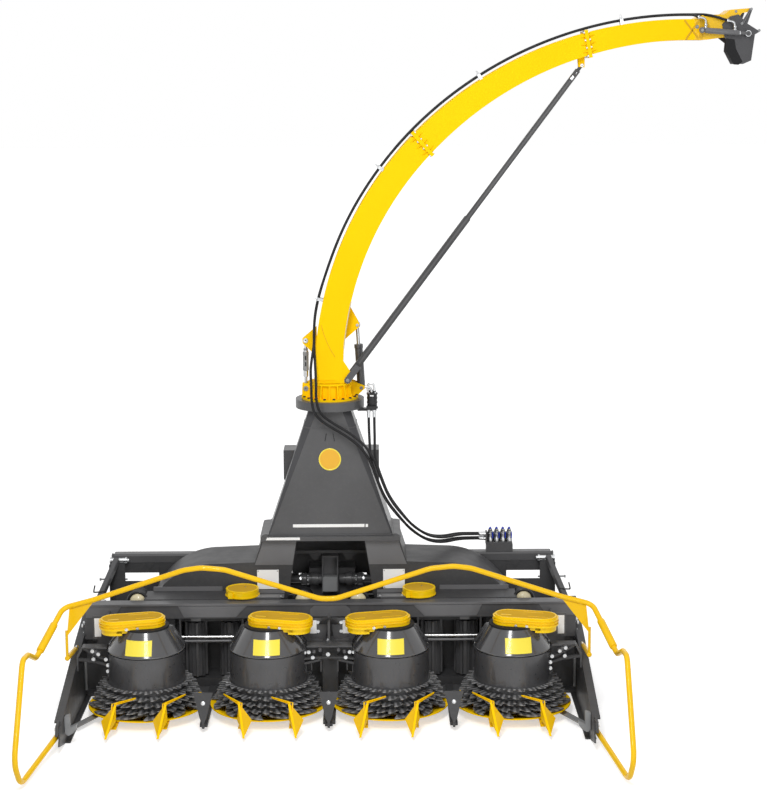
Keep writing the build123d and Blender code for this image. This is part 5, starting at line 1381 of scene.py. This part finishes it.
class HARVESTER_OT_spout(Maker, bpy.types.Operator):
    """Adds flange bolts, gussets, hose clips and edge beads along the spout"""
    bl_idname = "harvester.spout"
    bl_label = "Spout Fittings"

    def execute(self, context):
        rows, gussets = [], []
        for outer, inner in (JOINT, SECOND):
            o, i = Vector((outer[0], 0, outer[1])), Vector((inner[0], 0, inner[1]))
            across = (o - i).normalized()
            along = Vector((across.z, 0, -across.x))
            length = (o - i).length
            for share in (-0.02, 0.34, 0.68, 1.02):
                spot = i + across * length * share + Vector((0, 0.751, 0))
                rows += [(spot + along * 0.012, along, 0.75), (spot - along * 0.012, -along, 0.75)]
            for y in (0.8, 0.87, 0.94):
                for base in (i - across * 0.009, o + across * 0.009):
                    spot = base + Vector((0, y, 0))
                    rows += [(spot + along * 0.012, along, 0.7), (spot - along * 0.012, -along,
                        0.7)]
            for share in (0.18, 0.51, 0.84):
                gussets.append((i + across * length * share, across, along))
        bolts("joint_bolts", "spout", rows)

        def ribs(s):
            for spot, across, along in gussets:
                base = spot + Vector((0, SPOUT_NEAR_Y, 0))
                for way in (-1, 1):
                    a = base + along * way * 0.012
                    prism(s, [a - across * 0.003, a + along * way * 0.042 - across * 0.003,
                        a - across * 0.003 + Vector((0, -0.018, 0))], across * 0.006)
        piece("joint_gussets", "yellow", "spout", ribs, bevel=0.0008)

        def gaskets(s):
            for outer, inner in (JOINT, SECOND):
                o, i = Vector((outer[0], 0.7435, outer[1])), Vector((inner[0], 0.7435, inner[1]))
                across = (o - i).normalized()
                along = Vector((across.z, 0, -across.x)) * 0.0022
                o, i = o + across * 0.012, i - across * 0.012
                prism(s, [i - along, i + along, o + along, o - along], (0, 0.004, 0))
        piece("joint_gaskets", "near_black", "spout", gaskets)

        def clips(s):
            for place in CLIPS:
                x, z, nx, nz = place
                n, t = Vector((nx, 0, nz)), Vector((nz, 0, -nx))
                base = Vector((x, 0, z))
                for y in (0.7555, 0.8005):
                    prism(s, [base - t * 0.011 + Vector((0, y, 0)),
                        base + t * 0.011 + Vector((0, y, 0)),
                        base + t * 0.011 + n * 0.04 + Vector((0, y, 0)),
                        base - t * 0.011 + n * 0.04 + Vector((0, y, 0))], (0, 0.004, 0))
                prism(s, [base - t * 0.011 + n * 0.0385 + Vector((0, 0.7555, 0)),
                    base + t * 0.011 + n * 0.0385 + Vector((0, 0.7555, 0)),
                    base + t * 0.011 + n * 0.042 + Vector((0, 0.7555, 0)),
                    base - t * 0.011 + n * 0.042 + Vector((0, 0.7555, 0))], (0, 0.049, 0))
                lathe(s, base + n * 0.04 + Vector((0, 0.78, 0)), n, [(0, 0), (0, 0.009),
                    (0.007, 0.009), (0.008, 0.005), (0.024, 0.005), (0.025, 0.004), (0.025, 0)], 12)
        piece("hose_clips", "steel", "spout", clips, smooth=35)

        def head(s):
            a = Vector((HINGE[0], 0, HINGE[1]))
            b = Vector((STRUT_TOP[0], 0, STRUT_TOP[1]))
            way = (b - a).normalized()
            for start, radius, long, sides in ((0.052, 0.0175, 0.018, 6), (0.088, 0.019, 0.03, 20)):
                spot = b - way * start + Vector((0, STRUT_Y, 0))
                lathe(s, spot, -way, [(0, 0), (0, radius - 0.002), (0.002, radius),
                    (long - 0.002, radius), (long, radius - 0.002), (long, 0)], sides)
        piece("strut_nuts", "steel", "spout", head, smooth=35)

        def clevis(s):
            a = Vector((HINGE[0], 0.744, HINGE[1]))
            way = Vector((STRUT_TOP[0] - HINGE[0], 0, STRUT_TOP[1] - HINGE[1])).normalized()
            side = Vector((way.z, 0, -way.x)) * 0.022
            prism(s, [a - way * 0.022 - side * 0.5, a - way * 0.01 - side, a + way * 0.12 - side,
                a + way * 0.12 + side, a - way * 0.01 + side, a - way * 0.022 + side * 0.5], (0,
                0.012, 0))
        piece("strut_clevis", "grey", "spout", clevis, bevel=0.002)

        # A lighter grey strip along the darker strut: a painted highlight of the tube.
        def strip(s):
            a, b = Vector((HINGE[0], 0, HINGE[1])), Vector((STRUT_TOP[0], 0, STRUT_TOP[1]))
            length, way = (b - a).length, (b - a).normalized()
            for start, end, half in ((0.13, 0.52 * length, STRUT_HALF), (0.52 * length,
                    length - 0.125, 0.017)):
                p, q = a + way * start + Vector((0, STRUT_Y - half, 0)), a + way * end + Vector((0,
                    STRUT_Y - half, 0))
                upright_strip(s, p, q, 0.0065, -0.0015)
        piece("strut_painted_highlight", "dark", "spout", strip)
        (centre_x, centre_z), radius = INNER_LOW
        bead = [(centre_x - sqrt((radius + 0.001) ** 2 - (z - centre_z) ** 2), 0.758, z) for z in
            (BEAD_LOW + (BEAD_HIGH - BEAD_LOW) * k / 6 for k in range(7))]
        settle("foot_edge_bead", pipe_mesh("foot_edge_bead", [(bead, 0.0035)]), "cream", "spout",
            smooth=60)
        return {"FINISHED"}


def clip_rows():
    """Where the hose clips sit: x and z on the outer edge, and the way out of it."""
    rows = []
    for (centre, radius), angle in ((OUTER_LOW, 166.6), (OUTER_LOW, 142.9), (OUTER_HIGH, 122.0),
            (OUTER_HIGH, 99.4)):
        n = (cos(radians(angle)), sin(radians(angle)))
        rows.append((centre[0] + radius * n[0], centre[1] + radius * n[1], *n))
    return rows


CLIPS = clip_rows()


# ---- tip ------------------------------------------------------------------------------
class HARVESTER_OT_tip(Maker, bpy.types.Operator):
    """Adds painted shade along the creases, bolts, elbows and short hose tails at the spout's end"""
    bl_idname = "harvester.tip"
    bl_label = "Spout Tip"

    def execute(self, context):
        # Darker yellow strips along the tip's creases: painted shade.
        def creases(s):
            for (x0, z0), (x1, z1) in (((2.362, 4.47), (2.455, 4.352)), ((2.452, 4.462),
                    (2.372, 4.345))):
                upright_strip(s, Vector((x0, SPOUT_NEAR_Y, z0)), Vector((x1, SPOUT_NEAR_Y, z1)),
                    0.006, -0.0045)
            brick(s, 2.462, 2.486, SPOUT_NEAR_Y - 0.004, SPOUT_NEAR_Y + 0.001, 4.352, 4.476)
        piece("tip_crease_painted_shade", "seam", "spout", creases, bevel=0.002)
        bolts("tip_bolts", "spout", [((2.445, SPOUT_NEAR_Y - 0.001, 4.428), FRONT, 0.8),
            ((2.699, SPOUT_NEAR_Y, 4.526), FRONT, 0.6), ((2.68, 0.743, 4.45), FRONT, 0.65),
            ((2.47, 0.697, 4.405), FRONT, 0.7)], "zinc_grey")
        y = 0.712
        elbows = pipe_mesh("tip_elbows", [([(2.44, y, 4.488), (2.47, y, 4.486), (2.492, y, 4.476),
            (2.494, y, 4.45), (2.494, y, 4.412)], 0.0075),
            ([(2.632, y, 4.467), (2.655, y, 4.462), (2.68, y, 4.456), (2.685, y, 4.43),
            (2.686, y, 4.396)], 0.0075)], sides=4)
        settle("tip_elbows", elbows, "chrome", "flap_barrel", smooth=60)

        def nuts(s):
            for x, z, way in ((2.44, 4.488, (1, 0, -0.05)), (2.494, 4.446, (0, 0, -1)), (2.494,
                    4.428, (0, 0, -1)), (2.632, 4.467, (1, 0, -0.2)), (2.686, 4.432, (0, 0, -1)),
                    (2.686, 4.414, (0, 0, -1))):
                lathe(s, (x, y, z), way, [(0, 0), (0, 0.0115), (0.002, 0.0125), (0.012, 0.0125),
                    (0.014, 0.0115), (0.014, 0)], 12)
        piece("tip_nuts", "chrome", "flap_barrel", nuts, smooth=35)
        tails = pipe_mesh("tip_tails", [([(2.395, 0.77, 4.5065), (2.415, 0.762, 4.506),
            (2.428, 0.74, 4.5), (2.436, y, 4.492), (2.444, y, 4.488)], 0.0088),
            ([(2.395, 0.79, 4.5075), (2.44, 0.786, 4.508), (2.5, 0.76, 4.506), (2.56, 0.722, 4.492),
            (2.61, y, 4.474), (2.636, y, 4.467)], 0.0088)], sides=4)
        settle("tip_tails", tails, "rubber", "spout", smooth=60)

        def barrel(s):
            a, b = Vector(FLAP_PIN_LOW), Vector(FLAP_PIN_HIGH)
            way = (b - a).normalized()
            lathe(s, a + way * 0.022, way, [(0, 0.004), (0, 0.0175), (0.003, 0.0185),
                (0.212, 0.0185), (0.215, 0.017), (0.222, 0.017), (0.222, 0.0085)], 26)
        piece("flap_barrel_tube", "face", "flap_barrel", barrel, smooth=35)

        def gland(s):
            a, b = Vector(FLAP_PIN_LOW), Vector(FLAP_PIN_HIGH)
            way = (b - a).normalized()
            lathe(s, a + way * 0.2445, way, [(0, 0.0075), (0, 0.013), (0.002, 0.014),
                (0.009, 0.014), (0.011, 0.012), (0.011, 0.0075)], 20)
        piece("flap_gland", "chrome", "flap_barrel", gland, smooth=35)

        def tilt_gland(s):
            a, b = Vector((TILT_LOW[0], TILT_Y, TILT_LOW[1])), Vector((TILT_HIGH[0], TILT_Y,
                TILT_HIGH[1]))
            way = (b - a).normalized()
            lathe(s, a + way * 0.27, way, [(0, 0.02), (0, 0.029), (0.003, 0.0305), (0.026, 0.0305),
                (0.029, 0.028), (0.029, 0.0135)], 26)
            lathe(s, a + way * 0.03, way, [(0, 0.015), (0, 0.0285), (0.014, 0.0285),
                (0.014, 0.015)], 26)
        piece("tilt_gland", "grey", "tilt_barrel", tilt_gland, smooth=35)
        piece("flap_rod_eye", "dark", "flap_piston", lambda s:
            [pin_head(s, 2.773, 4.382, 0.706, 0.0165, 0.01),
            flat_bar(s, [(2.722, 0.7035, 4.386), (2.773, 0.7035, 4.382)], 0.018, 0.012)], smooth=35)
        bolts("flap_bolts", "flap", [((2.797, 0.743, 4.54), FRONT, 0.6),
            ((2.737, 0.743, 4.447), FRONT, 0.6), ((2.852, 0.743, 4.402), FRONT, 0.6)], "zinc_grey")

        # A near-black sheet on the flap's inward-bent facet: painted shade.
        piece("flap_facet_painted_shade", "near_black", "flap", lambda s: sheet(s, 0.7485, -0.0025,
            [(2.63, 4.352), (2.692, 4.345), (2.704, 4.282), (2.748, 4.2), (2.722, 4.18),
            (2.69, 4.182), (2.642, 4.268)]), bevel=0.0008)

        def levers(s):
            for lift in (0.0, 0.01):
                a, b = Vector((2.798 - lift, 0.746, 4.543)), Vector((2.742 - lift, 0.746, 4.44))
                upright_strip(s, a, b, 0.003, -0.004)
        piece("flap_levers", "face", "flap", levers, bevel=0.0008)
        return {"FINISHED"}


# ---- stage ----------------------------------------------------------------------------
CAMERA_PLACE = (0.2915, -11.6881, 4.1603)
CAMERA_PITCH = 0.1761
CAMERA_YAW = -0.0061
CAMERA_ROLL = -0.0053
CAMERA_LENS = 83.53
LAMPS = [
    # name, place, size, watts, aimed at
    ("softbox", (-0.5, -5.4, 6.9), 1.5, 330.0, (0.0, -0.2, 0.5)),
    ("front_fill", (4.0, -9.0, 3.0), 5.0, 170.0, (0.3, 0.0, 0.8)),
    ("top", (0.5, 0.8, 8.5), 5.0, 70.0, (0.3, 0.3, 0.0)),
    ("back", (2.0, 8.0, 5.0), 5.0, 80.0, (0.0, 0.5, 1.2)),
]


def seen_rays(tree):
    """1 for what the camera sees, straight, in a reflection or through glass."""
    ray = tree.nodes.new("ShaderNodeLightPath")
    value = ray.outputs["Is Camera Ray"]
    for other in ("Is Glossy Ray", "Is Transmission Ray"):
        most = tree.nodes.new("ShaderNodeMath")
        most.operation = "MAXIMUM"
        tree.links.new(value, most.inputs[0])
        tree.links.new(ray.outputs[other], most.inputs[1])
        value = most.outputs["Value"]
    return value


class HARVESTER_OT_stage(Maker, bpy.types.Operator):
    """Makes the floor, the backdrop light, the lamps and the camera"""
    bl_idname = "harvester.stage"
    bl_label = "Studio Stage"

    def execute(self, context):
        scene = context.scene
        scene.view_settings.view_transform = "Standard"
        floor = bpy.data.meshes.new("floor")
        floor.from_pydata([(-90, -90, 0), (90, -90, 0), (90, 90, 0), (-90, 90, 0)], [],
            [(0, 1, 2, 3)])
        look = Shader("pale_floor", (0.8, 0.8, 0.8), 0.8)
        look.colour(look.mix(look.noise(0.5), (0.79, 0.79, 0.79), (0.81, 0.81, 0.81)))
        far = look.node("ShaderNodeVectorMath", operation="LENGTH")
        look.link(look.place, far.inputs[0])
        glow = look.node("ShaderNodeMath", operation="MULTIPLY")
        look.link(look.spread(far.outputs["Value"], 0.52, 0.72, 3.0, 12.0), glow.inputs[0])
        look.link(seen_rays(look.tree), glow.inputs[1])
        look.surface.inputs["Emission Color"].default_value = (1, 1, 1, 1)
        look.link(glow.outputs["Value"], look.surface.inputs["Emission Strength"])
        floor.materials.append(look.made)
        linked("floor", floor)

        world = bpy.data.worlds.new("studio")
        scene.world = world
        world.use_nodes = True
        tree = world.node_tree
        back = tree.nodes["Background"]
        back.inputs["Color"].default_value = (1, 1, 1, 1)
        span = tree.nodes.new("ShaderNodeMapRange")
        span.inputs["To Min"].default_value = 0.46
        span.inputs["To Max"].default_value = 1.0
        tree.links.new(seen_rays(tree), span.inputs["Value"])
        tree.links.new(span.outputs["Result"], back.inputs["Strength"])

        for name, place, size, watts, aim in LAMPS:
            lamp = bpy.data.lights.new(name, "AREA")
            lamp.size = size
            if name == "softbox":
                lamp.shape, lamp.size_y = "RECTANGLE", 3.4
            lamp.energy = watts
            holder = bpy.data.objects.new(name, lamp)
            scene.collection.objects.link(holder)
            holder.location = place
            holder.visible_glossy = name != "back"
            holder.rotation_euler = (Vector(aim) - Vector(place)).to_track_quat("-Z",
                "Y").to_euler()

        lens = bpy.data.cameras.new("camera")
        lens.lens = CAMERA_LENS
        lens.clip_end = 200
        camera = bpy.data.objects.new("camera", lens)
        scene.collection.objects.link(camera)
        camera.matrix_world = (Matrix.Translation(CAMERA_PLACE) @ Matrix.Rotation(CAMERA_YAW, 4,
            "Z") @ Matrix.Rotation(pi / 2 - CAMERA_PITCH, 4, "X") @ Matrix.Rotation(CAMERA_ROLL, 4,
            "Z"))
        scene.camera = camera
        return {"FINISHED"}


SETTINGS = (HarvesterColours, HarvesterSizes)
OPERATORS = [HARVESTER_OT_frame_finish, HARVESTER_OT_free_hoses, HARVESTER_OT_stage,
    HARVESTER_OT_tower, HARVESTER_OT_between_ducts, HARVESTER_OT_beam, HARVESTER_OT_strippers,
    HARVESTER_OT_drums, HARVESTER_OT_sides, HARVESTER_OT_rear, HARVESTER_OT_couplers,
    HARVESTER_OT_collar, HARVESTER_OT_spout, HARVESTER_OT_tip]


class HARVESTER_PT_looks(bpy.types.Panel):
    """Lists the harvester's settings and makers"""
    bl_idname = "HARVESTER_PT_looks"
    bl_label = "Harvester"
    bl_space_type = "VIEW_3D"
    bl_region_type = "UI"
    bl_category = "Harvester"

    def draw(self, context):
        for group in (context.scene.harvester_colours, context.scene.harvester_sizes):
            for key in group.bl_rna.properties.keys():
                if key not in ("rna_type", "name"):
                    self.layout.prop(group, key)
        for operator in OPERATORS:
            self.layout.operator(operator.bl_idname)


def register():
    for kind in (*SETTINGS, *OPERATORS, HARVESTER_PT_looks):
        bpy.utils.register_class(kind)
    bpy.types.Scene.harvester_colours = bpy.props.PointerProperty(type=HarvesterColours)
    bpy.types.Scene.harvester_sizes = bpy.props.PointerProperty(type=HarvesterSizes)


def unregister():
    del bpy.types.Scene.harvester_sizes
    del bpy.types.Scene.harvester_colours
    for kind in reversed((*SETTINGS, *OPERATORS, HARVESTER_PT_looks)):
        bpy.utils.unregister_class(kind)


def main():
    register()
    for operator in OPERATORS:
        group, name = operator.bl_idname.split(".")
        getattr(getattr(bpy.ops, group), name)()


if __name__ == "__main__":
    main()
